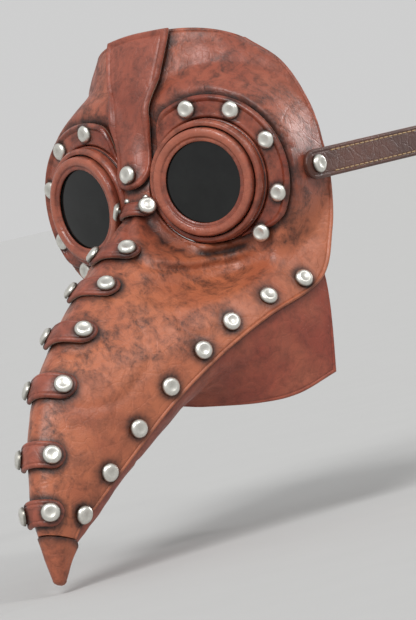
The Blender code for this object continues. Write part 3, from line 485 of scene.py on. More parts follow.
def carve(obj, name, points, faces, operation="DIFFERENCE"):
    """Apply a Boolean with a throwaway solid."""
    cutter = bpy.data.objects.new(name, new_mesh(name, points, faces, []))
    bpy.context.scene.collection.objects.link(cutter)
    modifier = obj.modifiers.new(name, "BOOLEAN")
    modifier.operation = operation
    modifier.solver = "EXACT"
    modifier.object = cutter
    settle(obj)
    obj.data.set_sharp_from_angle(angle=math.radians(40))
    bpy.data.objects.remove(cutter, do_unlink=True)


def block(low, high):
    points = [(x, y, z) for x in (low[0], high[0]) for y in (low[1], high[1])
              for z in (low[2], high[2])]
    return points, [(0, 1, 3, 2), (4, 6, 7, 5), (0, 4, 5, 1), (2, 3, 7, 6), (0, 2, 6, 4), (1, 5, 7, 3)]


def frame_matrix(point, axis, up=(0, 0, 1)):
    """World matrix whose Z is the axis, at a point in millimetres."""
    z = Vector(axis).normalized()
    x = Vector(up).cross(z)
    if x.length < 1e-3:
        x = Vector((1, 0, 0)).cross(z)
    x.normalize()
    matrix = Matrix((x, z.cross(x), z)).transposed().to_4x4()
    matrix.translation = Vector(point) * MM
    return matrix


def to_world(matrix, points):
    return [tuple(matrix @ (Vector(p) * MM) / MM) for p in points]


# ================================================================ materials
def linear(code):
    """Linear colour of an sRGB hex code."""
    values = [int(code[i:i + 2], 16) / 255 for i in (1, 3, 5)]
    return (*[v / 12.92 if v <= 0.04045 else ((v + 0.055) / 1.055) ** 2.4 for v in values], 1.0)


def per(size):
    """Texture scale for a pattern of a size in millimetres."""
    return 1000.0 / size


def add(tree, kind, inputs=None, out=0, **settings):
    """Add a node with its settings and links, and give back one of its outputs."""
    node = tree.nodes.new(kind)
    for key, value in settings.items():
        setattr(node, key, value)
    for key, value in (inputs or {}).items():
        if isinstance(value, bpy.types.NodeSocket):
            tree.links.new(value, node.inputs[key])
        else:
            node.inputs[key].default_value = value
    return node.outputs[out]


def blank(name, **sockets):
    """A new material, its tree and its shader, with uniform values on the shader's sockets."""
    material = bpy.data.materials.new(name)
    material.use_nodes = True
    tree = material.node_tree
    shader = tree.nodes["Principled BSDF"]
    for key, value in sockets.items():
        shader.inputs[key.replace("_", " ")].default_value = value
    return material, tree, shader


def leather(name, body, deep, lit, warm, patina, grain=1.3, gloss=(0.36, 0.58), relief=1.0):
    """Veg-tanned cow hide, dyed by hand, antiqued with dark paste and waxed.

    The dye takes unevenly and the paste stays in low places. Beside other pieces the hide is darker
    with dirt and painted shade, and rubbed crests go lighter with wear and a painted highlight.
    The wax gives a broad satin shine, broken by the grain.
    """
    material, tree, shader = blank(name, Coat_Weight=0.05, Coat_Roughness=0.25)
    where = add(tree, "ShaderNodeTexCoord", out="Object")
    # uneven dye: clouds the size of a thumb, and finger-tip dabs in them
    cloud = add(tree, "ShaderNodeTexNoise",
                {"Vector": where, "Scale": per(34), "Detail": 3.0, "Roughness": 0.55})
    dab = add(tree, "ShaderNodeTexNoise",
              {"Vector": where, "Scale": per(8), "Detail": 5.0, "Roughness": 0.68, "Distortion": 0.5})
    fleck = add(tree, "ShaderNodeTexNoise",
                {"Vector": where, "Scale": per(1.7), "Detail": 4.0, "Roughness": 0.7})
    clouds = add(tree, "ShaderNodeMapRange", {"Value": cloud, 1: 0.38, 2: 0.66})
    colour = add(tree, "ShaderNodeMix", {0: clouds, 6: linear(body), 7: linear(lit)},
                 out=2, data_type="RGBA")
    # the beak took a second, more orange coat of dye
    second = add(tree, "ShaderNodeAttribute", attribute_name="tone", out="Fac")
    blotch = add(tree, "ShaderNodeMapRange", {"Value": cloud, 1: 0.30, 2: 0.62, 3: 0.45, 4: 1.0})
    coat = add(tree, "ShaderNodeMath", {0: second, 1: blotch}, operation="MULTIPLY")
    colour = add(tree, "ShaderNodeMix", {0: coat, 6: colour, 7: linear(warm)},
                 out=2, data_type="RGBA")
    # dark paste in dabs, where the patina layer asks for it
    dabs = add(tree, "ShaderNodeMapRange", {"Value": dab, 1: 0.42, 2: 0.62})
    flecks = add(tree, "ShaderNodeMapRange", {"Value": fleck, 1: 0.30, 2: 0.72, 3: 0.35, 4: 1.0})
    broken = add(tree, "ShaderNodeMath", {0: dabs, 1: flecks}, operation="MULTIPLY")
    asked = add(tree, "ShaderNodeAttribute", attribute_name="patina", out="Fac")
    share = add(tree, "ShaderNodeMath", {0: asked, 1: patina}, operation="ADD", use_clamp=True)
    stain = add(tree, "ShaderNodeMath", {0: broken, 1: share}, operation="MULTIPLY")
    colour = add(tree, "ShaderNodeMix", {0: stain, 6: colour, 7: linear(deep)},
                 out=2, data_type="RGBA")
    # rubbed crests go lighter: wear and a painted highlight
    rub_and_highlight_mask = add(tree, "ShaderNodeAttribute", attribute_name="rub_and_highlight", out="Fac")
    worn = add(tree, "ShaderNodeMath", {0: rub_and_highlight_mask, 1: flecks}, operation="MULTIPLY")
    colour = add(tree, "ShaderNodeMix", {0: worn, 6: colour, 7: linear(lit)},
                 out=2, data_type="RGBA")
    # dirt and polish beside rivets, bands and collars, and painted shade where they meet
    dirt_and_shade_mask = add(tree, "ShaderNodeAttribute", attribute_name="dirt_and_shade", out="Fac")
    uneven = add(tree, "ShaderNodeMapRange", {"Value": dab, 1: 0.25, 2: 0.6, 3: 0.7, 4: 1.0})
    dirt_and_shade_share = add(tree, "ShaderNodeMath", {0: dirt_and_shade_mask, 1: uneven}, operation="MULTIPLY")
    colour = add(tree, "ShaderNodeMix", {0: dirt_and_shade_share, 6: colour, 7: linear("#21100c")},
                 out=2, data_type="RGBA")
    tree.links.new(colour, shader.inputs["Base Color"])
    # the wax lies thicker in some places
    rough = add(tree, "ShaderNodeMapRange", {"Value": dab, 1: 0.3, 2: 0.7, 3: gloss[0], 4: gloss[1]})
    tree.links.new(rough, shader.inputs["Roughness"])
    # hair-cell grain, soft wrinkles and small scars
    bent = add(tree, "ShaderNodeTexNoise", {"Vector": where, "Scale": per(6), "Detail": 2.0}, out=1)
    pulled = add(tree, "ShaderNodeVectorMath", {0: bent, "Scale": 0.004}, operation="SCALE")
    moved = add(tree, "ShaderNodeVectorMath", {0: where, 1: pulled}, operation="ADD")
    cells = add(tree, "ShaderNodeTexVoronoi", {"Vector": moved, "Scale": per(grain)},
                feature="DISTANCE_TO_EDGE")
    wrinkle = add(tree, "ShaderNodeTexVoronoi", {"Vector": moved, "Scale": per(7.5)},
                  feature="DISTANCE_TO_EDGE")
    lines = add(tree, "ShaderNodeMapRange", {"Value": wrinkle, 1: 0.0, 2: 0.09})
    pebbles = add(tree, "ShaderNodeMapRange", {"Value": cells, 1: 0.0, 2: 0.28})
    bump = add(tree, "ShaderNodeBump",
               {"Strength": 0.30 * relief, "Distance": 0.12 * MM, "Height": pebbles})
    bump = add(tree, "ShaderNodeBump",
               {"Strength": 0.30 * relief, "Distance": 0.28 * MM, "Height": lines, "Normal": bump})
    bump = add(tree, "ShaderNodeBump",
               {"Strength": 0.55 * relief, "Distance": 0.5 * MM, "Height": dab, "Normal": bump})
    tree.links.new(bump, shader.inputs["Normal"])
    return material


def flesh_side(name, body, deep):
    """The unfinished back of the hide: split and sueded, so it is dull, pale and fibrous."""
    material, tree, shader = blank(name, Roughness=0.94, Sheen_Weight=0.25, Sheen_Roughness=0.5)
    where = add(tree, "ShaderNodeTexCoord", out="Object")
    cloud = add(tree, "ShaderNodeTexNoise",
                {"Vector": where, "Scale": per(15), "Detail": 5.0, "Roughness": 0.65})
    nap = add(tree, "ShaderNodeTexNoise",
              {"Vector": where, "Scale": per(1.1), "Detail": 4.0, "Roughness": 0.8})
    both = add(tree, "ShaderNodeMath", {0: cloud, 1: nap}, operation="MULTIPLY")
    share = add(tree, "ShaderNodeMapRange", {"Value": both, 1: 0.12, 2: 0.40})
    colour = add(tree, "ShaderNodeMix", {0: share, 6: linear(deep), 7: linear(body)},
                 out=2, data_type="RGBA")
    tree.links.new(colour, shader.inputs["Base Color"])
    bump = add(tree, "ShaderNodeBump", {"Strength": 0.6, "Distance": 0.3 * MM, "Height": nap})
    tree.links.new(bump, shader.inputs["Normal"])
    return material


def cast_metal(name, bright, dull, rough, scratch=2.2):
    """Plated and tumbled, then dipped in dark wash: bright tops, low places darker with wash and painted
    shade, fine scuffs.
    """
    material, tree, shader = blank(name, Metallic=1.0)
    where = add(tree, "ShaderNodeTexCoord", out="Object")
    scuff = add(tree, "ShaderNodeTexNoise",
                {"Vector": where, "Scale": per(scratch), "Detail": 6.0, "Roughness": 0.75})
    # darker low places: dark wash in the hollows and painted shade under the rivet heads
    low = add(tree, "ShaderNodeAttribute", attribute_name="dirt_and_shade", out="Fac")
    part = add(tree, "ShaderNodeMapRange", {"Value": scuff, 1: 0.35, 2: 0.75, 3: 0.0, 4: 0.35})
    share = add(tree, "ShaderNodeMath", {0: low, 1: part}, operation="ADD", use_clamp=True)
    colour = add(tree, "ShaderNodeMix", {0: share, 6: linear(bright), 7: linear(dull)},
                 out=2, data_type="RGBA")
    tree.links.new(colour, shader.inputs["Base Color"])
    worn = add(tree, "ShaderNodeMapRange",
               {"Value": scuff, 1: 0.3, 2: 0.7, 3: rough - 0.07, 4: rough + 0.12})
    tree.links.new(worn, shader.inputs["Roughness"])
    bump = add(tree, "ShaderNodeBump", {"Strength": 0.15, "Distance": 0.05 * MM, "Height": scuff})
    tree.links.new(bump, shader.inputs["Normal"])
    return material


def smoked_lens():
    """Smoke-dyed polycarbonate, moulded and hard coated: near black, with a clean gloss."""
    material, tree, shader = blank("smoked_polycarbonate", IOR=1.45, Transmission_Weight=0.05)
    where = add(tree, "ShaderNodeTexCoord", out="Object")
    haze = add(tree, "ShaderNodeTexNoise",
               {"Vector": where, "Scale": per(12), "Detail": 6.0, "Roughness": 0.7})
    share = add(tree, "ShaderNodeMapRange", {"Value": haze, 1: 0.35, 2: 0.75})
    colour = add(tree, "ShaderNodeMix",
                 {0: share, 6: linear("#0b0c0c"), 7: linear("#171918")}, out=2, data_type="RGBA")
    tree.links.new(colour, shader.inputs["Base Color"])
    smear = add(tree, "ShaderNodeMapRange", {"Value": haze, 1: 0.4, 2: 0.8, 3: 0.06, 4: 0.22})
    tree.links.new(smear, shader.inputs["Roughness"])
    return material


def rubber():
    """Moulded nitrile rubber: black, dull, with a faint bloom."""
    material, tree, shader = blank("moulded_rubber", IOR=1.52)
    where = add(tree, "ShaderNodeTexCoord", out="Object")
    bloom = add(tree, "ShaderNodeTexNoise",
                {"Vector": where, "Scale": per(5), "Detail": 6.0, "Roughness": 0.7})
    share = add(tree, "ShaderNodeMapRange", {"Value": bloom, 1: 0.4, 2: 0.7})
    colour = add(tree, "ShaderNodeMix",
                 {0: share, 6: linear("#1b1a19"), 7: linear("#34312f")}, out=2, data_type="RGBA")
    tree.links.new(colour, shader.inputs["Base Color"])
    rough = add(tree, "ShaderNodeMapRange", {"Value": bloom, 1: 0.3, 2: 0.7, 3: 0.5, 4: 0.72})
    tree.links.new(rough, shader.inputs["Roughness"])
    bump = add(tree, "ShaderNodeBump", {"Strength": 0.2, "Distance": 0.08 * MM, "Height": bloom})
    tree.links.new(bump, shader.inputs["Normal"])
    return material


def brushed_knit():
    """Tricot knit laminated to foam: rows of fine loops with a soft brushed face."""
    material, tree, shader = blank("brushed_tricot_foam", Roughness=0.95, Sheen_Weight=0.6,
                                   Sheen_Roughness=0.45)
    where = add(tree, "ShaderNodeTexCoord", out="Object")
    # loops of 1.2 mm, drawn about twice as coarse as the real knit so that they show
    courses = add(tree, "ShaderNodeTexWave",
                  {"Vector": where, "Scale": per(1.2) / (2 * math.pi) * 2, "Distortion": 1.5,
                   "Detail": 2.0, "Detail Scale": 4.0}, bands_direction="Z")
    wales = add(tree, "ShaderNodeTexWave",
                {"Vector": where, "Scale": per(1.2) / (2 * math.pi) * 2, "Distortion": 1.0},
                bands_direction="X")
    loops = add(tree, "ShaderNodeMath", {0: courses, 1: wales}, operation="MULTIPLY")
    dust = add(tree, "ShaderNodeTexNoise",
               {"Vector": where, "Scale": per(9), "Detail": 5.0, "Roughness": 0.7})
    share = add(tree, "ShaderNodeMath", {0: loops, 1: dust}, operation="MULTIPLY")
    colour = add(tree, "ShaderNodeMix",
                 {0: share, 6: linear("#1c1a1a"), 7: linear("#4d4744")}, out=2, data_type="RGBA")
    tree.links.new(colour, shader.inputs["Base Color"])
    bump = add(tree, "ShaderNodeBump", {"Strength": 0.6, "Distance": 0.3 * MM, "Height": loops})
    tree.links.new(bump, shader.inputs["Normal"])
    return material


def waxed_thread():
    """Waxed linen thread, twisted from three strands: tan, slightly shiny, ribbed."""
    material, tree, shader = blank("waxed_linen_thread", Roughness=0.55, Coat_Weight=0.1)
    where = add(tree, "ShaderNodeTexCoord", out="Object")
    fibre = add(tree, "ShaderNodeTexNoise",
                {"Vector": where, "Scale": per(0.5), "Detail": 4.0, "Roughness": 0.7})
    share = add(tree, "ShaderNodeMapRange", {"Value": fibre, 1: 0.3, 2: 0.7})
    colour = add(tree, "ShaderNodeMix",
                 {0: share, 6: linear("#8a6a48"), 7: linear("#c9ab80")}, out=2, data_type="RGBA")
    tree.links.new(colour, shader.inputs["Base Color"])
    bump = add(tree, "ShaderNodeBump", {"Strength": 0.5, "Distance": 0.1 * MM, "Height": fibre})
    tree.links.new(bump, shader.inputs["Normal"])
    return material


def painted_floor():
    """Studio floor in matt emulsion: pale, with only a trace of roller texture."""
    material, tree, shader = blank("matt_studio_floor", Roughness=0.9)
    where = add(tree, "ShaderNodeTexCoord", out="Object")
    roller = add(tree, "ShaderNodeTexNoise", {"Vector": where, "Scale": per(40), "Detail": 4.0})
    colour = add(tree, "ShaderNodeMix",
                 {0: roller, 6: linear("#b3b3b2"), 7: linear("#b7b7b6")}, out=2, data_type="RGBA")
    tree.links.new(colour, shader.inputs["Base Color"])
    return material


SHELL = leather("antiqued_veg_tan_shell", "#8d4632", "#2d1710", "#a35a42", "#af6443", 0.38)
JAW = leather("antiqued_veg_tan_jaw", "#8f4030", "#2c1712", "#a2563f", "#a25a40", 0.45)
BAND = leather("antiqued_veg_tan_bands", "#84402f", "#2b1610", "#9c5340", "#9c5340", 0.65, grain=1.1)
COLLAR = leather("antiqued_veg_tan_collars", "#7c3829", "#26110c", "#a9604a", "#a9604a", 0.85,
                 grain=0.9, gloss=(0.18, 0.40), relief=0.8)
STRAP = leather("bridle_leather_strap", "#4c2a20", "#1f110d", "#633728", "#633728", 0.25, grain=1.0,
                gloss=(0.32, 0.5), relief=0.8)
SUEDE = flesh_side("sueded_flesh_side", "#a97e62", "#6b4735")
STRAP_SUEDE = flesh_side("strap_flesh_side", "#7d5a45", "#4c3326")
NICKEL = cast_metal("nickel_plated_rivets", "#eceae2", "#77736a", 0.34)
BRASS = cast_metal("antique_brass_buckle", "#a98a55", "#3c2e1c", 0.33, scratch=3.0)
LENS = smoked_lens()
RUBBER = rubber()
KNIT = brushed_knit()
THREAD = waxed_thread()
FLOOR = painted_floor()


# ================================================================ shells
def fine_steps(low, high, count, low_stops=(), high_stops=()):
    """Steps from low to high, close together at the ends that have stops."""
    inner_low = low + (low_stops[-1] if len(low_stops) else 0)
    inner_high = high - (high_stops[-1] if len(high_stops) else 0)
    middle = np.linspace(inner_low, inner_high, count)
    start = [low + stop for stop in low_stops[:-1]]
    end = [high - stop for stop in high_stops[:-1]][::-1]
    return np.array([*start, *middle, *end])


def run_along(grid):
    """Distance over the grid from its first row, and to its last row."""
    steps = np.linalg.norm(np.diff(grid, axis=0), axis=2)
    run = np.concatenate([np.zeros((1, grid.shape[1])), np.cumsum(steps, axis=0)])
    return run, run[-1] - run


def grid_normals(grid):
    normals = np.cross(np.gradient(grid, axis=0), np.gradient(grid, axis=1))
    return unit(normals)


def face_hide():
    """Forehead, cheeks and beak top: one wet-formed hide with two eye holes."""
    top_rate, end_rate = 20.0, 28.0
    stations = fine_steps(0, SHELL_END, 225, EDGE_STOPS / top_rate, EDGE_STOPS[:4] / end_rate)
    fractions = np.linspace(0, 1, 76)[1:]
    rows_s = []
    for t in stations:
        edge_s = across_at(t, EDGE_STOPS, from_edge=True)
        inner_s = edge_s[-1] * fractions[::-1]
        half = np.concatenate([edge_s[:-1], inner_s])
        rows_s.append(np.concatenate([-half, [0.0], half[::-1]]))
    s = np.array(rows_s)
    t = np.repeat(stations[:, None], s.shape[1], axis=1)
    outer = upper(t, s)
    normals = upper_normal(t, s)
    across, back = run_along(outer.transpose(1, 0, 2))
    side = np.minimum(across, back).T
    top, end = run_along(outer)
    d = np.minimum(side, top)
    swell = crumple(outer, 24, 0.7) + crumple(outer, 9, 0.22, 7.0) + crumple(outer, 4.5, 0.10, 1.0)
    swell += folds(outer, 30, 0.6, 11.0) * ease(-0.15, 0.35, crumple(outer, 40, 1.0, 5.0))
    _, radial, radius = eye_polar(outer * np.where(outer[..., :1] < 0, (-1, 1, 1), 1))
    seated = ease(31, 50, radius)
    swell = swell * seated * ease(2, 9, d)
    # hide pushed up under the nose side of each goggle stands in two soft rolls
    wander = radius + crumple(outer, 16, 0.8, 6.0)
    rolls = sum(rise * np.exp(-((wander - at) / width) ** 2) for rise, at, width in
                ((1.4, 33.3, 1.3), (-0.9, ROLL_CREASE, 1.0), (1.1, 39.4, 1.7), (-0.7, 42.6, 1.1),
                 (0.7, 45.8, 2.0)))
    swell = swell + rolls * nose_side(radial) * ease(2, 9, d)
    # the lip over the seam is rolled: a low bead just inside the edge
    bead = 0.35 * np.exp(-((side - 1.0) / 0.9) ** 2)
    drop = rounded_edge(np.minimum(d, end * 2.5), FACE_WALL)
    top_skin = outer + normals * (swell + bead - drop - crease(d))[..., None]
    under = outer - normals * (FACE_WALL - drop - 0.4 * swell)[..., None]
    keep, snapped = eye_holes(top_skin, under)
    mesh = slab("face_hide", *snapped, (SHELL, SUEDE), keep)
    return piece("face_hide", mesh, node="face_shell")


def nose_side(radial):
    """1 under and beside the nose from a goggle, where no collar covers the hide."""
    return (1 - ease(0, 24, radial @ EYE_SIDE)) * (1 - ease(-16, -4, radial[..., 2]))


def roll_crease(face):
    """Points along the crease between the two rolls of hide, darkened there with polish and painted shade.
    """
    points = mesh_points(face.data)
    _, radial, radius = eye_polar(abs(points) * (1, 0, 0) + points * (0, 1, 1))
    return points[(abs(radius - ROLL_CREASE) < 0.5) & (nose_side(radial) > 0.7)]


def eye_holes(top_skin, under):
    """Cells to keep round both goggle barrels, with the hole edges drawn to true circles."""
    reach = BARREL_R + GAP
    flips = np.where(top_skin[..., :1] < 0, (-1, 1, 1), 1)
    _, _, radius = eye_polar(top_skin * flips)
    near = radius < reach
    cell_near = [near[:-1, :-1], near[1:, :-1], near[:-1, 1:], near[1:, 1:]]
    keep = ~(np.sum(cell_near, axis=0) >= 3)
    corner = np.zeros(near.shape, bool)
    edge = np.zeros(near.shape, bool)
    for di in (0, 1):
        for dj in (0, 1):
            corner[di:near.shape[0] - 1 + di, dj:near.shape[1] - 1 + dj] |= ~keep
            edge[di:near.shape[0] - 1 + di, dj:near.shape[1] - 1 + dj] |= keep
    border = corner & edge
    skins = []
    for skin in (top_skin, under):
        flipped = skin * flips
        height, radial, radius = eye_polar(flipped)
        moved = EYE_CENTRE + height[..., None] * EYE_AXIS + unit(radial) * reach
        skins.append(np.where(border[..., None], moved, flipped) * flips)
    return keep, skins


def jaw_hide():
    """Chin, jaw and beak underside; its margins are tucked up behind the upper shell."""
    rate = 24.0
    stations = fine_steps(JAW_START, SHELL_END, 170, EDGE_STOPS / rate)
    nearest = np.argmin(abs(stations - NECK_STATION))
    stations[nearest] = NECK_STATION
    fractions = np.linspace(0, 1, 44)[1:]
    steps = np.linspace(0, 1, 121)
    rows = []
    for t in stations:
        tuck = np.interp(t, (JAW_START, SHELL_END), SEAM_TUCK)
        margin = across_at(t, tuck * np.array([1, 0.75, 0.5, 0.25, 0.1]), from_edge=True)
        line = lower(t, steps)
        run = np.concatenate([[0], np.cumsum(np.linalg.norm(np.diff(line, axis=0), axis=1))])
        stops = EDGE_STOPS[EDGE_STOPS < run[-1] / 3]
        stops = np.interp(np.linspace(0, 1, len(EDGE_STOPS)), np.linspace(0, 1, len(stops)), stops)
        places = [*(fractions[::-1] * 0), *run[-1] - stops[::-1]]
        places[:len(fractions)] = (run[-1] - stops[-1]) * (1 - fractions[::-1])
        q = np.interp(places, run, steps)
        rows.append(np.vstack([upper_at(t, margin, -(FACE_WALL + GAP)), lower(t, q)]))
    half = np.array(rows)
    joined = stations >= NECK_STATION - 1e-6
    normals = grid_normals(half)
    normals[joined, -1, 0] = 0.0
    normals = unit(normals)
    if normals[len(normals) // 2, 8] @ np.array([1.0, 0, 0]) < 0:
        normals = -normals
    top, _ = run_along(half)
    across, back = run_along(half.transpose(1, 0, 2))
    far = np.where(joined[:, None], 99.0, back.T)
    d = np.minimum(top, far)
    d = np.minimum(d, across.T)
    swell = crumple(half * (-1, 1, 1), 21, 0.8, 3.0) + crumple(half, 8, 0.2, 5.0)
    swell += folds(half, 26, 0.5, 2.0)
    seam = across.T - across.T[:, 4:5]
    swell = swell * ease(2, 9, d) * ease(2, 12, seam)
    drop = rounded_edge(d, JAW_WALL)
    line = crease(np.minimum(top, far))
    outer = half + normals * (np.minimum(swell, 9 * ease(2, 9, seam)) - drop - line)[..., None]
    inner = half - normals * (JAW_WALL - drop)[..., None]
    flip = np.array([-1.0, 1, 1])
    outer, inner = (np.hstack([g * flip, g[:, ::-1]]) for g in (outer, inner))
    keep = np.ones((outer.shape[0] - 1, outer.shape[1] - 1), bool)
    keep[:, half.shape[1] - 1] = False
    for g in (outer, inner):
        g[joined, half.shape[1] - 1:half.shape[1] + 1, 0] = 0.0
    mesh = slab("jaw_hide", outer, inner, (JAW, SUEDE), keep, middle_joined=True)
    return piece("jaw_hide", mesh, node="jaw_shell")


def beak_point():
    """Solid stacked-leather point that closes the beak."""
    half = 26

    def section(t):
        top = upper(t, np.linspace(-1, 1, half + 1))
        edge, middle = upper(t, 1.0), lower(t, 1.0)
        a = math.pi * np.arange(1, half) / half
        bottom = edge + (middle - edge) * np.sin(a)[:, None]
        bottom[:, 0] = edge[0] * np.cos(a)
        return np.vstack([top, bottom])

    start = SHELL_END + 0.006
    rings = []
    first = section(start)
    for share, back in ((0.55, 0.12), (0.90, 0.0), (0.97, 0.0)):
        centre = first.mean(axis=0)
        along = unit(section(start + 0.05).mean(axis=0) - centre)
        rings.append(centre + (first - centre) * share + along * back)
    for t in np.linspace(start + 0.01, TIP_END - 0.085, 30):
        ring = section(t)
        fade = ease(start, start + 0.2, t) * ease(TIP_END, TIP_END - 0.2, t)
        rings.append(ring + unit(ring - ring.mean(axis=0))
                     * (crumple(ring, 10, 0.35, 2.0) * fade)[:, None])
    last, centre = rings[-1], rings[-1].mean(axis=0)
    along = unit(centre - rings[-3].mean(axis=0))
    for turn in (15, 30, 45, 60, 74, 85):
        a = math.radians(turn)
        rings.append(centre + (last - centre) * math.cos(a) + along * (2.6 * math.sin(a)))
    mesh = new_mesh("beak_point", *loft([list(r) for r in rings]), [SHELL])
    # darker where the point meets the shell: dirt and painted shade
    mark_dirt_and_shade(mesh, [tuple(p) for p in first], 2.6)
    mark(mesh, "tone", np.full(len(mesh.vertices), 0.8))
    mark(mesh, "patina", np.full(len(mesh.vertices), 0.25))
    return piece("beak_point", mesh, node="beak_tip")


# ================================================================ pieces on the shell
def band_piece(name, station, at, width, end, lift, node):
    """Strap across the ridge with round ends: rounded edges, a pressed line, a low crown."""
    length, radius = at + end, width / 2
    over = radius * np.array([0, 0.3, 0.5, 0.65, 0.78, 0.87, 0.94, 0.98, 0.997])
    straight = np.linspace(-(length - radius), length - radius, 27)
    u = np.concatenate([-(length - radius + over[:0:-1]), straight, length - radius + over[1:]])
    stops = EDGE_STOPS[EDGE_STOPS < radius - 1.2] / radius
    k = np.concatenate([-(1 - stops), [-0.14, 0, 0.14], (1 - stops)[::-1]])
    past = np.maximum(abs(u) - (length - radius), 0)
    half = np.sqrt(radius ** 2 - past ** 2)
    u_grid = np.repeat(u[:, None], len(k), axis=1)
    v_grid = half[:, None] * k
    past_grid = np.repeat(past[:, None], len(k), axis=1)
    d = radius - np.hypot(past_grid, v_grid)
    t, s = spot(station, u_grid, v_grid)
    crown = 0.55 * (1 - (np.hypot(past_grid, v_grid) / radius) ** 2)
    drop = rounded_edge(d, BAND_T)
    outer = upper_at(t, s, lift + BAND_T + crown - drop - crease(d) - 0.25)
    outer += upper_normal(t, s) * crumple(outer, 5, 0.22, station)[..., None]
    inner = upper_at(t, s, lift + drop)
    mesh = slab(name, outer, inner, (BAND, SUEDE))
    outline = upper_at(*spot(station, np.concatenate([u, u]),
                             np.concatenate([half, -half])), 0.0)
    obj = piece(name, mesh, node=node)
    return obj, [tuple(p) for p in outline]


def brow_hide():
    """Strap down the middle of the forehead; its edges are rolled over a cord."""
    radius = BROW_HALF_LOW
    drops = radius * (1 - np.array([0.997, 0.98, 0.94, 0.87, 0.78, 0.65, 0.5, 0.3, 0.0]))
    heights = np.concatenate([BROW_END_Z + drops,
                              np.linspace(BROW_END_Z + radius, BROW_TOP_Z - 1.2, 62)[1:],
                              BROW_TOP_Z - np.array([0.7, 0.35, 0.12, 0])])
    stops = EDGE_STOPS / radius
    k = np.concatenate([-(1 - stops), np.linspace(-0.5, 0.5, 15), (1 - stops)[::-1]])
    outer, inner, sides = [], [], []
    for z in heights:
        below = max(radius - (z - BROW_END_Z), 0)
        half = math.sqrt(radius ** 2 - below ** 2)
        half += (BROW_HALF_HIGH - BROW_HALF_LOW) * float(ease(20, BROW_TOP_Z, z))
        v = half * k
        d = np.minimum(radius - np.hypot(below, v) if below > 0 else half - abs(v),
                       BROW_TOP_Z - z)
        t = station_at_z(z)
        s = across_at(t, v)
        roll = 0.75 * np.exp(-((d - 1.5) / 1.0) ** 2) - 0.35 * np.exp(-((d - 3.3) / 0.5) ** 2)
        drop = rounded_edge(d, BROW_T)
        flat = upper_at(t, s, BROW_LIFT + BROW_T - drop + roll - 0.1)
        outer.append(flat + upper_normal(t, s) * crumple(flat, 14, 0.35, 9.0)[..., None])
        inner.append(upper_at(t, s, BROW_LIFT + drop))
        sides += [tuple(p) for p in upper(t, s[[0, -1]])]
    mesh = slab("brow_strap_hide", np.array(outer), np.array(inner), (BAND, SUEDE))
    obj = piece("brow_strap_hide", mesh, node="brow_strap")
    return obj, sides


# ================================================================ rivets
def rivet(name, matrix, grip, body="mask", node=None):
    """Domed rivet head with a shallow dish, its shank and the set burr inside."""
    r, h = RIVET_HEAD_R, RIVET_HEAD_H
    head = [(0, h * 0.80), (r * 0.30, h * 0.82), (r * 0.46, h * 0.93), (r * 0.58, h * 0.97),
            (r * 0.74, h * 0.86), (r * 0.88, h * 0.62), (r * 0.97, h * 0.32), (r, h * 0.10),
            (r * 0.97, 0), (RIVET_SHANK_R, 0)]
    tail = [(RIVET_SHANK_R, -grip), (RIVET_TAIL_R * 0.9, -grip), (RIVET_TAIL_R, -grip - 0.25),
            (RIVET_TAIL_R * 0.92, -grip - RIVET_TAIL_T * 0.8),
            (RIVET_SHANK_R, -grip - RIVET_TAIL_T), (0, -grip - RIVET_TAIL_T * 0.9)]
    profile = head + tail
    mesh = new_mesh(name, *lathe(profile, 40, closed=False), [NICKEL], sharp=50)
    radius = np.hypot(*mesh_points(mesh)[:, :2].T)
    height = mesh_points(mesh)[:, 2]
    # painted shade under the head's rim and down the shank, and dark wash in the dish
    low = np.where(height < h * 0.4, 0.75, 0.0)
    dish = 0.22 * np.exp(-(radius / (r * 0.33)) ** 4)
    mark(mesh, "dirt_and_shade", np.maximum(low, dish))
    return piece(name, mesh, body, node, matrix)


def rivet_ring(matrix):
    """Points round a rivet head, for the darkening beside it: dirt and painted shade."""
    a = 2 * math.pi * np.arange(16) / 16
    return to_world(matrix, [(RIVET_HEAD_R * math.cos(x), RIVET_HEAD_R * math.sin(x), -1) for x in a])


def shell_rivet(name, t, s):
    """Rivet through the shell, on the seat that its node in the working model has."""
    axis = upper_normal(t, s)
    points = mesh_points(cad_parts[name].data)
    reach = points @ axis
    top, low = reach.max() - RIVET_HEAD_H, reach.min() + RIVET_TAIL_T
    centre = upper(t, s)
    matrix = frame_matrix(centre + axis * (top - centre @ axis), axis)
    rivet(name + "_set", matrix, top - low, node=name)
    return rivet_ring(matrix)


# ================================================================ goggles
def goggle_matrix(side):
    return frame_matrix(EYE_CENTRE * (side, 1, 1), EYE_AXIS * (side, 1, 1))


def flange_outer(angle):
    inner = BARREL_R + GAP + FLANGE_HORN
    run_out = np.minimum(ease(FLANGE_FROM, FLANGE_FROM + FLANGE_RUN_OUT[0], angle),
                         1 - ease(FLANGE_TO - FLANGE_RUN_OUT[1], FLANGE_TO, angle))
    return inner + (FLANGE_R - inner) * run_out


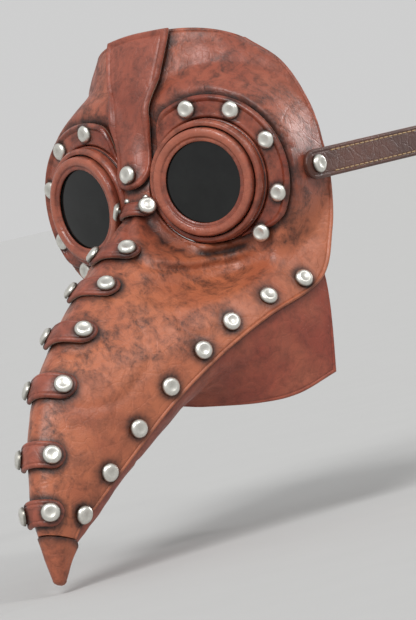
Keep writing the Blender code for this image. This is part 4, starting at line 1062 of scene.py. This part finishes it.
def flange(side, word, matrix):
    """Crescent collar with a cord rolled into its outer edge, and its five rivets."""
    angles = np.linspace(FLANGE_FROM, FLANGE_TO, 130)
    inside = BARREL_R + GAP
    reach = (flange_outer(angles) - inside)[:, None]
    widest = FLANGE_R - inside
    f = np.concatenate([[0, 0.012, 0.035, 0.07], np.linspace(0.12, 0.58, 8),
                        1 - EDGE_STOPS[:-1][::-1] / widest])
    radius = inside + reach * f
    d_out = reach * (1 - f)
    d = np.minimum(d_out, reach * f)
    ends = np.minimum(angles - FLANGE_FROM, FLANGE_TO - angles)[:, None] * math.radians(1) * BARREL_R
    d = np.minimum(d, ends)
    full = ease(3, 9, reach)
    bead = full * 0.95 * np.exp(-((d_out - 1.5) / 1.15) ** 2)
    line = full * 0.35 * np.exp(-((d_out - 3.6) / 0.5) ** 2)
    lap = full * 0.45 * np.exp(-((reach * f - 1.2) / 0.9) ** 2)
    drop = rounded_edge(d, FLANGE_T)
    a = np.radians(angles)[:, None]
    base = SEAT + FLANGE_LIFT
    x, y = side * radius * np.cos(a), radius * np.sin(a)
    swell = crumple(np.stack([x, y, 0 * x], -1), 13, 0.35, 4.0) * ease(1.5, 5, d)
    high = base + FLANGE_T - drop + bead - line + lap + swell
    outer = np.stack([x, y, high], -1)
    inner = np.stack([x, y, base + drop], -1)
    mesh = slab(f"goggle_collar_{word}", outer, inner, (COLLAR, SUEDE))
    spots = [(side * FLANGE_RIVET_R * math.cos(at), FLANGE_RIVET_R * math.sin(at))
             for at in np.radians(FLANGE_ANGLES)]
    rings = [(RIVET_HEAD_R * math.cos(k) + x, RIVET_HEAD_R * math.sin(k) + y, base + FLANGE_T)
             for x, y in spots for k in np.linspace(0, 2 * math.pi, 16)]
    # darker round the collar's rivets: dirt and painted shade
    mark_dirt_and_shade(mesh, rings, 1.7)
    piece(f"goggle_collar_{word}", mesh, node=f"goggle_flange_{word}",
          matrix=matrix)
    top = base + FLANGE_T - 0.2
    for number, (x, y) in enumerate(spots, 1):
        at = Matrix.Translation(Vector((x, y, top)) * MM)
        rivet(f"collar_rivet_{number}_{word}", matrix @ at, top - SEAT + FACE_WALL + BURR_GAP)
    edge = [(side * r * math.cos(t), r * math.sin(t), SEAT)
            for r, t in zip(flange_outer(angles), np.radians(angles))]
    barrel = [(BARREL_R * math.cos(t), BARREL_R * math.sin(t), SEAT)
              for t in np.linspace(0, 2 * math.pi, 90)]
    return to_world(matrix, edge + barrel)


def turned_piece(name, profile, radius, material, matrix, body, node):
    """A ring turned from its section, darker in the groove with paste and painted shade, and lighter on
    the crest with wear and a painted highlight.
    """
    mesh = new_mesh(name, *lathe(filleted(profile, radius, closed=True), TURNED_SIDES, closed=True),
                    [material], sharp=45)
    points = mesh_points(mesh)
    # groove bottoms darker: dark paste and painted shade
    deep = points[:, 2] < GROOVE + 1.6
    ring = (np.hypot(*points[:, :2].T) > NECK_R - 0.5) & (np.hypot(*points[:, :2].T) < BARREL_R - 0.4)
    mark(mesh, "dirt_and_shade", np.where(deep & ring, 0.85, 0.0))
    # the front crest goes lighter: wear and a painted highlight
    crest = points[:, 2].max()
    mark(mesh, "rub_and_highlight", 0.15 + 0.75 * np.exp(-((points[:, 2] - crest) / 0.6) ** 2))
    return piece(name, mesh, body, node, matrix)


def goggle(side, word):
    matrix = goggle_matrix(side)
    neck_hole = BEZEL_LIP_R + 0.8
    seat = LENS_BACK - GAP
    groove_r = BEZEL_R + 2 * GAP
    # a stepped barrel: thick foot, waist line, rim
    eyecup = [(neck_hole, BARREL_BACK), (BARREL_R, BARREL_BACK), (BARREL_R, -8.4),
              (BARREL_R - 0.9, -8.0), (BARREL_R - 0.9, -7.3), (BARREL_R - 0.25, -6.9),
              (BARREL_R - 0.25, -4.0), (BARREL_R - 1.3, BARREL_FRONT), (groove_r, BARREL_FRONT - 0.1),
              (groove_r, GROOVE), (NECK_R, GROOVE), (NECK_R, NECK_TOP),
              (LENS_R + GAP, NECK_TOP), (LENS_R + GAP, seat), (neck_hole, seat)]
    turned_piece(f"goggle_barrel_{word}", eyecup, 0.55, COLLAR, matrix, "mask",
                 f"eyecup_{word}")
    front = LENS_BACK + LENS_T
    dome = [(r, front + 0.85 * (1 - (r / LENS_R) ** 2)) for r in np.linspace(0, LENS_R - 0.5, 14)]
    lens = dome + [(LENS_R, front - 0.45), (LENS_R, LENS_BACK + 0.2), (LENS_R - 0.3, LENS_BACK),
                   (LENS_R * 0.6, LENS_BACK), (0, LENS_BACK)]
    mesh = new_mesh(f"lens_disc_{word}", *lathe(lens, 96, closed=False), [LENS])
    piece(f"lens_disc_{word}", mesh, "mask", f"lens_{word}", matrix)
    lip = NECK_TOP + GAP
    bezel = [(BEZEL_LIP_R, lip), (BEZEL_LIP_R, -0.55), (BEZEL_LIP_R + 1.0, -0.1),
             (BEZEL_LIP_R + 1.9, -0.25), (BEZEL_LIP_R + 2.6, 0.75), (BEZEL_R - 2.3, BEZEL_FRONT),
             (BEZEL_R - 0.5, 0.75), (BEZEL_R, -0.4), (BEZEL_R, GROOVE + GAP),
             (NECK_R + GAP, GROOVE + GAP), (NECK_R + GAP, lip)]
    turned_piece(f"bezel_ring_{word}", bezel, 0.6, COLLAR, matrix, f"bezel_{word}",
                 f"bezel_{word}")
    lock_front = seat_back() - GAP
    grip_r = BARREL_R + 0.03
    lock = [(grip_r, lock_front), (LOCK_R, lock_front),
            (LOCK_R, lock_front - LOCK_T), (grip_r, lock_front - LOCK_T)]
    turned_piece(f"lock_band_{word}", lock, 0.7, RUBBER, matrix, "mask",
                 f"lock_ring_{word}")
    return flange(side, word, matrix)


def seat_back():
    return SEAT - FACE_WALL


# ================================================================ brow pad
def brow_pad():
    """Foam pad under brushed knit; it swells between its edges and is flat on the brow."""
    low, high = PAD_Z
    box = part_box("brow_pad")
    deepest = box[0][1] / MM
    lining_t = np.linspace(0.6, 3.2, 60)[:, None]
    lining = upper_at(lining_t, np.linspace(-0.75, 0.75, 81), -(FACE_WALL + GAP)).reshape(-1, 3)
    outer, inner = [], []
    for z in np.linspace(low, high, 15):
        over = max(0.0, z - (high - PAD_CORNER), (low + PAD_CORNER) - z)
        half = PAD_HALF_X - PAD_CORNER + math.sqrt(max(PAD_CORNER ** 2 - over ** 2, 0))
        xs = np.linspace(-half, half, 41)
        front = []
        for x in xs:
            near = (abs(lining[:, 0] - x) < 3) & (abs(lining[:, 2] - z) < 3)
            front.append(max(lining[near, 1].max() + 0.8, deepest))
        outer.append([(x, y, z) for x, y in zip(xs, front)])
        inner.append([(x, PAD_BACK_Y, z) for x in xs])
    mesh = slab("brow_cushion", np.array(outer), np.array(inner), (KNIT, KNIT))
    pad = piece("brow_cushion", mesh, node="brow_pad")
    remesh = pad.modifiers.new("even", "REMESH")
    remesh.mode = "VOXEL"
    remesh.voxel_size = 2.2 * MM
    soften = pad.modifiers.new("soften", "SMOOTH")
    soften.iterations = 4
    soften.factor = 0.5
    settle(pad)
    inflate(pad, cap=1.3, glued_in_front_of=-2.6)
    smooth = pad.modifiers.new("round", "SUBSURF")
    smooth.levels = smooth.render_levels = 1
    settle(pad)
    # a bound seam runs round the pad, just in front of the face that meets the brow
    cover = mesh_points(pad.data)
    rim = cover[abs(cover[:, 1] - PAD_SEAM_Y) < 0.7]
    middle = np.array([0, PAD_SEAM_Y, (low + high) / 2])
    path = []
    for turn in np.linspace(0, 2 * math.pi, 73)[:-1]:
        # aim at the corners of the long pad as often as at its ends
        aim = unit(np.array([PAD_HALF_X * math.cos(turn), 0, (high - low) / 2 * math.sin(turn)]))
        offset = rim - middle
        reach = offset @ aim
        beside = np.linalg.norm(offset - reach[:, None] * aim * (1, 0, 1), axis=1)
        path.append(middle + aim * (reach[beside < 1.6].max() - 0.15))
    path = np.array(path)
    for _ in range(2):
        path = 0.25 * np.roll(path, 1, 0) + 0.5 * path + 0.25 * np.roll(path, -1, 0)
    rings = []
    for i, p in enumerate(path):
        along = unit(path[(i + 1) % len(path)] - path[i - 1])
        side = np.cross(along, (0.0, 1.0, 0.0))
        rings.append(ring_round(p, side, np.array([0, 1, 0]), PAD_BINDING_R, 10))
    binding = new_mesh("brow_cushion_binding", *loft(rings, closed=True), [KNIT])
    piece("brow_cushion_binding", binding)


def settle(obj):
    """Turn a piece's modifiers into plain mesh."""
    bpy.context.view_layer.update()
    evaluated = obj.evaluated_get(bpy.context.evaluated_depsgraph_get())
    mesh = bpy.data.meshes.new_from_object(evaluated)
    obj.modifiers.clear()
    obj.data = mesh
    mesh.shade_smooth()


def inflate(obj, cap, glued_in_front_of):
    """Swell a pad's cover as its foam does, with no point moving further than the cap."""
    before = mesh_points(obj.data)
    glued = obj.vertex_groups.new(name="glued")
    glued.add([int(i) for i in np.nonzero(before[:, 1] < glued_in_front_of)[0]], 1.0, "REPLACE")
    cloth = obj.modifiers.new("cover", "CLOTH")
    cloth.settings.vertex_group_mass = "glued"
    cloth.settings.use_pressure = True
    cloth.settings.uniform_pressure_force = 4.0
    cloth.settings.effector_weights.gravity = 0.0
    cloth.point_cache.frame_start, cloth.point_cache.frame_end = 1, 20
    for step in range(1, 21):
        bpy.context.scene.frame_set(step)
    settle(obj)
    obj.vertex_groups.clear()
    moved = mesh_points(obj.data) - before
    far = np.linalg.norm(moved, axis=1, keepdims=True)
    held = before + moved * np.minimum(1.0, cap / np.maximum(far, 1e-9))
    held[:, 1] = np.minimum(held[:, 1], -0.15)
    obj.data.vertices.foreach_set("co", (held * MM).ravel())
    obj.data.update()
    bpy.context.scene.frame_set(1)


# ================================================================ head strap
def loop_place(run):
    """Point on the strap's inner face and its outward direction, run from the left pivot."""
    straight = LOOP_CENTRE_Y - PIVOT_Y
    arc = math.pi * STRAP_X
    if run <= straight:
        return np.array([STRAP_X, PIVOT_Y + run, PIVOT_Z]), np.array([1.0, 0, 0])
    if run >= straight + arc:
        y = LOOP_CENTRE_Y - (run - straight - arc)
        return np.array([-STRAP_X, y, PIVOT_Z]), np.array([-1.0, 0, 0])
    a = (run - straight) / STRAP_X
    out = np.array([math.cos(a), math.sin(a), 0])
    return np.array([0, LOOP_CENTRE_Y, PIVOT_Z]) + STRAP_X * out, out


def run_at_right(y):
    return LOOP_CENTRE_Y - PIVOT_Y + math.pi * STRAP_X + LOOP_CENTRE_Y - y


def strap_section(half):
    """Cut strap in section: rounded edges and a pressed line on the outer face."""
    stops = EDGE_STOPS[EDGE_STOPS < max(half - 0.3, 0.2)]
    stops = np.interp(np.linspace(0, 1, len(EDGE_STOPS)), np.linspace(0, 1, len(stops)), stops)
    z = np.concatenate([-(half - stops), [0.0], (half - stops)[::-1]])
    d = half - abs(z)
    drop = rounded_edge(d, STRAP_T)
    top = STRAP_T - drop - 0.7 * crease(d)
    under = drop
    return [*zip(top, z), *zip(under[::-1], z[::-1])]


def strap_band(name, stops, body, node, steps=2.5):
    """Strap through stops of (run, lift, half width), smoothed between them."""
    runs, lifts, halves = (np.array(v, float) for v in zip(*stops))
    extra = np.arange(runs[0], runs[-1], steps)
    places = np.unique(np.round(np.concatenate([runs, extra]), 3))
    lift = np.interp(places, runs, lifts)
    for _ in range(3):
        lift[1:-1] = 0.25 * lift[:-2] + 0.5 * lift[1:-1] + 0.25 * lift[2:]
    half = np.interp(places, runs, halves)
    centres = []
    for run, up in zip(places, lift):
        base, out = loop_place(run)
        centres.append((base + out * up, out))
    rings = []
    for k, (centre, out) in enumerate(centres):
        before, after = centres[max(k - 1, 0)][0], centres[min(k + 1, len(centres) - 1)][0]
        along = unit(after - before)
        lean = unit(out - along * (out @ along))
        rings.append([centre + lean * x + np.array([0, 0, z]) for x, z in strap_section(half[k])])
    mesh = new_mesh(name, *loft(rings), [STRAP, STRAP_SUEDE], sharp=50)
    for polygon in mesh.polygons:
        at = polygon.center / MM
        centre = np.array([0, LOOP_CENTRE_Y]) if at.y > LOOP_CENTRE_Y else np.array([0, at.y])
        inward = centre - np.array([at.x, at.y])
        normal = np.array(polygon.normal)[:2]
        if normal @ inward > 0.6 * np.linalg.norm(inward):
            polygon.material_index = 1
    return piece(name, mesh, body, node)


def lug_stops(direction, start):
    half = STRAP_W / 2
    stops = []
    for share in (0.004, 0.03, 0.08, 0.16, 0.28, 0.42, 0.6, 0.8, 1.0):
        stops.append((start + direction * half * share, 0,
                      half * math.sqrt(1 - (1 - share) ** 2)))
    return stops


def long_strap():
    half = STRAP_W / 2
    straight = LOOP_CENTRE_Y - PIVOT_Y
    stops = lug_stops(1, -STRAP_LUG)
    stops += [(straight * 0.5, 0, half), (straight, 0, half), (straight + math.pi * STRAP_X, 0, half)]
    front_y = HEEL_Y + FRAME_LEN
    shape = ((front_y - 2, 0), (front_y - 5, 0.9), (HEEL_Y + 9, 3.9), (HEEL_Y + 6, TAIL_LIFT - 0.4),
             (HEEL_Y + 4, TAIL_LIFT), (HEEL_Y - 4, TAIL_LIFT), (HEEL_Y - 6, TAIL_LIFT - 0.5),
             (HEEL_Y - 8.6, STRAP_T + GAP), (TAIL_END_Y + half, STRAP_T + GAP))
    stops += [(run_at_right(y), lift, half) for y, lift in shape]
    for share in (0.25, 0.5, 0.7, 0.85, 0.94, 0.985, 0.999):
        stops.append((run_at_right(TAIL_END_Y + half * (1 - share)), STRAP_T + GAP,
                      half * math.sqrt(1 - share ** 2)))
    obj = strap_band("strap_long_cut", stops, "strap_loop", "strap_long", steps=1.2)
    slot_half = PRONG_EYE_W / 2 + GAP
    low = (-(STRAP_X + 3 * STRAP_T + TAIL_LIFT), SLOT_Y[0], PIVOT_Z - slot_half)
    high = (-(STRAP_X - 1), SLOT_Y[1], PIVOT_Z + slot_half)
    carve(obj, "prong_slot", *block(low, high))
    for number, y in enumerate(STRAP_HOLES_Y):
        matrix = frame_matrix((-STRAP_X - STRAP_T / 2, y, PIVOT_Z), (-1, 0, 0))
        rod = lathe([(0, 4), (STRAP_HOLE_R, 4), (STRAP_HOLE_R, -4), (0, -4)], 32, closed=False)
        carve(obj, f"strap_hole_{number}", to_world(matrix, rod[0]), rod[1])


def cylinder(centre, radius, half_height, sides):
    angles = 2 * math.pi * (np.arange(sides) + 0.5) / sides
    rings = [[centre + np.array([radius * math.cos(a), radius * math.sin(a), z]) for a in angles]
             for z in (-half_height, half_height)]
    return loft(rings)


def short_strap():
    pivot_run = run_at_right(PIVOT_Y)
    stops = [(pivot_run - run, lift, half) for run, lift, half in lug_stops(1, -STRAP_LUG)]
    stops.append((run_at_right(HEEL_Y - BAR_R - EYE_WALL / 2), 0, STRAP_W / 2))
    obj = strap_band("strap_short_cut", sorted(stops), "strap_loop", "strap_short")
    half = STRAP_W / 2
    eye = cylinder(HEEL, BAR_R + GAP + EYE_WALL, half - EYE_SKIVE, 44)
    carve(obj, "heel_eye", *eye, operation="UNION")
    carve(obj, "heel_bore", *cylinder(HEEL, BAR_R + GAP, half + 1, 33))
    reach = BAR_R + GAP + EYE_WALL + 1.5
    slot_half = PRONG_EYE_W / 2 + GAP
    carve(obj, "prong_gap", *block(HEEL - (reach, reach, slot_half), HEEL + (reach, reach, slot_half)))


def stitch(start, end, out, radius=0.34):
    """One saddle stitch: it rises from its hole, lies on the leather and dives again."""
    along = end - start
    side = unit(np.cross(along, out))
    rings = []
    for share, rise, thick in ((0.0, -0.45, 0.5), (0.08, 0.05, 0.85), (0.3, 0.22, 1.0),
                               (0.7, 0.22, 1.0), (0.92, 0.05, 0.85), (1.0, -0.45, 0.5)):
        centre = start + along * share + out * rise
        rings.append(ring_round(centre, side, out, radius * thick, 6))
    return loft(rings)


def stitching(name, start, end, pitch=4.2, length=3.3):
    """Rows of stitches along the strap, on its outer and its inner face."""
    points, faces = [], []
    for run in np.arange(start, end, pitch):
        for z in STITCH_ROWS:
            for skin in (1, -1):
                ends = []
                for at in (run, run + length):
                    base, out = loop_place(at)
                    height = STRAP_T - 0.12 if skin > 0 else 0.05
                    ends.append(base + out * height + np.array([0, 0, z]))
                more, sides = stitch(*ends, out * skin)
                faces += [tuple(len(points) + i for i in face) for face in sides]
                points += more
    mesh = new_mesh(name, points, faces, [THREAD])
    piece(name, mesh, "strap_loop")


def buckle_matrix():
    """Origin on the heel bar, X towards the front bar, Y up the strap's width, Z outwards."""
    rise = FRONT_BAR_O - STRAP_T / 2
    along = Vector((-rise, math.sqrt(FRAME_LEN ** 2 - rise ** 2), 0)).normalized()
    up = Vector((0, 0, 1))
    out = along.cross(up)
    if out.x > 0:
        up = -up
        out = along.cross(up)
    matrix = Matrix((along, up, out)).transposed().to_4x4()
    matrix.translation = Vector(HEEL) * MM
    return matrix


def buckle(matrix):
    """Cast buckle: a rounded frame of one bar, and its prong."""
    middle = FRAME_LEN / 2
    path = [np.array([middle + x, y, 0])
            for x, y in round_cornered(middle, FRAME_HALF_W, FRAME_CORNER, 9)]
    rings = []
    for i, p in enumerate(path):
        along = unit(path[(i + 1) % len(path)] - path[i - 1])
        side = np.array([-along[1], along[0], 0])
        rings.append(ring_round(p, side, np.array([0, 0, 0.94]), BAR_R, 20))
    mesh = new_mesh("buckle_cast_frame", *loft(rings, closed=True), [BRASS])
    piece("buckle_cast_frame", mesh, "buckle", "buckle_frame", matrix)
    bore, wide = BAR_R + GAP, PRONG_EYE_W / 2
    ring = [(bore, -wide), (PRONG_EYE_R, -wide), (PRONG_EYE_R, wide), (bore, wide)]
    points, faces = lathe(filleted(ring, 0.4, closed=True), 40, closed=True)
    points = [(x, z, y) for x, y, z in points]
    mesh = new_mesh("buckle_cast_prong", points, faces, [BRASS])
    prong = piece("buckle_cast_prong", mesh, "prong", "buckle_prong", matrix)
    start, end = np.array([2.35, 0, 1.95]), np.array([FRAME_LEN + 2.2, 0, bore + PRONG_R])
    along = unit(end - start)
    side = np.array([-along[2], 0, along[0]])
    rings = []
    for share, thick in ((0, 1), (0.4, 1), (0.75, 0.97), (0.93, 0.92), (0.975, 0.78), (0.993, 0.5),
                         (1, 0.2)):
        centre = start + (end - start) * share
        rings.append(ring_round(centre, side, np.array([0, 1, 0]), PRONG_R * thick, 18))
    rod_points, rod_faces = loft(rings)
    carve(prong, "prong_rod", to_world(matrix, rod_points), rod_faces, operation="UNION")


def keeper():
    """Sliding loop that holds the strap's tail: one lapped and glued band."""
    inner_x, outer_x = STRAP_X - GAP, STRAP_X + 2 * STRAP_T + 2 * GAP
    half = STRAP_W / 2 + GAP
    centre = np.array([-(inner_x + outer_x) / 2, KEEPER_Y, PIVOT_Z])
    half_x = (outer_x - inner_x) / 2
    wide = KEEPER_LEN / 2
    section = filleted([(0.0, -wide), (0.0, wide), (KEEPER_WALL, wide), (KEEPER_WALL, -wide)],
                       0.45, closed=True)
    paths = [round_cornered(half_x + grow, half + grow, KEEPER_CORNER + grow, 7)
             for grow, _ in section]
    rings = []
    for k in range(len(paths[0])):
        rings.append([centre + np.array([paths[i][k][0], y, paths[i][k][1]])
                      for i, (_, y) in enumerate(section)])
    mesh = new_mesh("keeper_loop", *loft(rings, closed=True), [STRAP])
    piece("keeper_loop", mesh, "keeper", "strap_keeper")


# ================================================================ assembly
def assemble():
    face, jaw = face_hide(), jaw_hide()
    beak_point()
    lines = []
    brow, sides = brow_hide()
    lines += sides
    for number, (station, at, width) in enumerate((TAB, *BANDS)):
        node = f"beak_band_{number}" if number else "nose_bridge_tab"
        end, lift = (BAND_END, GAP) if number else (TAB_END, TAB_LIFT)
        name = f"band_{number}_cut" if number else "bridge_tab_cut"
        obj, outline = band_piece(name, station, at, width, end, lift, node)
        lines += outline
        rings = []
        for side, word in ((1, "left"), (-1, "right")):
            t, s = spot(station, side * at, 0)
            prefix = f"band_rivet_{number}" if number else "bridge_rivet"
            rings += shell_rivet(f"{prefix}_{word}", t, s)
        # darker round the band's rivets: polish and painted shade
        mark_dirt_and_shade(obj.data, rings, DIRT_AND_SHADE_BY_RIVET)
    seam = []
    for number, (station, inset) in enumerate(SEAM_RIVETS, 1):
        s = across_at(station, inset, from_edge=True)
        for side, word in ((1, "left"), (-1, "right")):
            seam += shell_rivet(f"seam_rivet_{number}_{word}", station, side * s)
    brow_ring = shell_rivet("brow_rivet", station_at_z(BROW_RIVET_Z), 0.0)
    # darker round the brow rivet: polish and painted shade
    mark_dirt_and_shade(brow.data, brow_ring, DIRT_AND_SHADE_BY_RIVET)
    for side, word in ((1, "left"), (-1, "right")):
        lines += goggle(side, word)
        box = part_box(f"temple_rivet_{word}")
        top = max(abs(box[0][0]), abs(box[1][0])) / MM - RIVET_HEAD_H
        low = min(abs(box[0][0]), abs(box[1][0])) / MM + RIVET_TAIL_T
        matrix = frame_matrix((side * top, PIVOT_Y, PIVOT_Z), (side, 0, 0))
        rivet(f"temple_rivet_{word}_set", matrix, top - low, node=f"temple_rivet_{word}")
        stud(word, side)
    # the face darkens beside the brow strap, bands, collars, goggles and rivets and in the roll crease:
    # dirt and painted shade
    mark_dirt_and_shade(face.data, lines + seam + [tuple(p) for p in roll_crease(face)], 2.6)
    mark_patina(face)
    # painted shadow of the upper shell's edge on the jaw, along the seam
    seam_line = upper_at(np.linspace(JAW_START, SHELL_END, 260), 1.0, 0.0)
    both = [tuple(p * (side, 1, 1)) for p in seam_line for side in (1, -1)]
    mark_dirt_and_shade(jaw.data, both, 3.2)
    brow_pad()
    long_strap()
    short_strap()
    stitching("strap_stitching_loop", 13.0, run_at_right(108.0))
    stitching("strap_stitching_short", run_at_right(55.0), run_at_right(26.0))
    buckle(buckle_matrix())
    keeper()


def stud(word, side):
    """Small plated stud in the corner between the nose bridge and the goggle."""
    t, s = spot(STUD[0], side * STUD[1], 0)
    axis = upper_normal(t, s)
    matrix = frame_matrix(upper(t, s) + axis * 0.1, axis)
    profile = [(0, 1.5), (0.8, 1.35), (1.45, 0.9), (1.75, 0.3), (1.75, -0.3), (0, -0.3)]
    mesh = new_mesh(f"bridge_stud_{word}", *lathe(profile, 24, closed=False), [NICKEL])
    piece(f"bridge_stud_{word}", mesh, matrix=matrix)


def mark_patina(face):
    """Antique paste along the beak's ridge and middle and on the cheeks; darker round the goggles and
    between them; painted shade darkening the top of the forehead.
    """
    points = mesh_points(face.data)
    x, y, z = abs(points[:, 0]), points[:, 1], points[:, 2]
    beak = ease(-45, -75, y)
    ridge = beak * np.exp(-(x / 15) ** 2) * 0.85
    middle = 0.7 * np.exp(-((y + 88) / 30) ** 2 - ((z + 68) / 18) ** 2)
    cheek = 0.35 * np.exp(-((x - 52) / 16) ** 2 - ((z + 52) / 14) ** 2)
    # painted shade: darker towards the top of the forehead
    brow = 0.5 * ease(30, 60, z)
    _, _, radius = eye_polar(np.stack([x, y, z], -1))
    sockets = 0.85 * np.exp(-((radius - 44) / 8) ** 2) + 0.9 * np.exp(-(x / 16) ** 2 - ((z - 2) / 20) ** 2)
    mark(face.data, "patina", np.clip(ridge + middle + cheek + brow + sockets, 0, 1))
    mark(face.data, "tone", ease(-6, -40, z) * ease(4, 20, x + 0.08 * abs(y)))


def studio():
    """Plain pale floor, soft lights and the camera."""
    bpy.context.scene.view_settings.view_transform = "Standard"
    bm = bmesh.new()
    bmesh.ops.create_circle(bm, cap_ends=True, segments=64, radius=FLOOR_R)
    mesh = bpy.data.meshes.new("studio_floor")
    bm.to_mesh(mesh)
    bm.free()
    mesh.materials.append(FLOOR)
    floor = bpy.data.objects.new("studio_floor", mesh)
    floor.location = (0, 0, cad_box[0][2] - FLOOR_DROP)
    bpy.context.scene.collection.objects.link(floor)

    right = CAMERA_RIGHT.normalized()
    back = (CAMERA_BACK - right * CAMERA_BACK.dot(right)).normalized()
    up = back.cross(right)
    aim = Vector((0, EYE_Y * MM, 0)) + right * AIM_RIGHT - up * AIM_DOWN
    camera = bpy.data.cameras.new("camera")
    camera.sensor_fit = "VERTICAL"
    camera.sensor_height = 36.0
    camera.lens = CAMERA_LENS
    obj = bpy.data.objects.new("camera", camera)
    matrix = Matrix((right, up, back)).transposed().to_4x4()
    matrix.translation = aim + back * CAMERA_AWAY
    obj.matrix_world = matrix
    bpy.context.scene.collection.objects.link(obj)
    bpy.context.scene.camera = obj

    world = bpy.data.worlds.new("studio")
    bpy.context.scene.world = world
    world.use_nodes = True
    sky = world.node_tree.nodes["Background"]
    sky.inputs["Color"].default_value = linear("#ffffff")
    sky.inputs["Strength"].default_value = SKY_STRENGTH
    for name, away, angle, power in SUNS:
        light = bpy.data.lights.new(name, "SUN")
        light.angle = math.radians(angle)
        light.energy = power
        lamp = bpy.data.objects.new(name, light)
        offset = right * away[0] + up * away[1] + back * away[2]
        lamp.location = aim + offset
        lamp.rotation_euler = offset.to_track_quat("Z", "Y").to_euler()
        bpy.context.scene.collection.objects.link(lamp)


assemble()
studio()
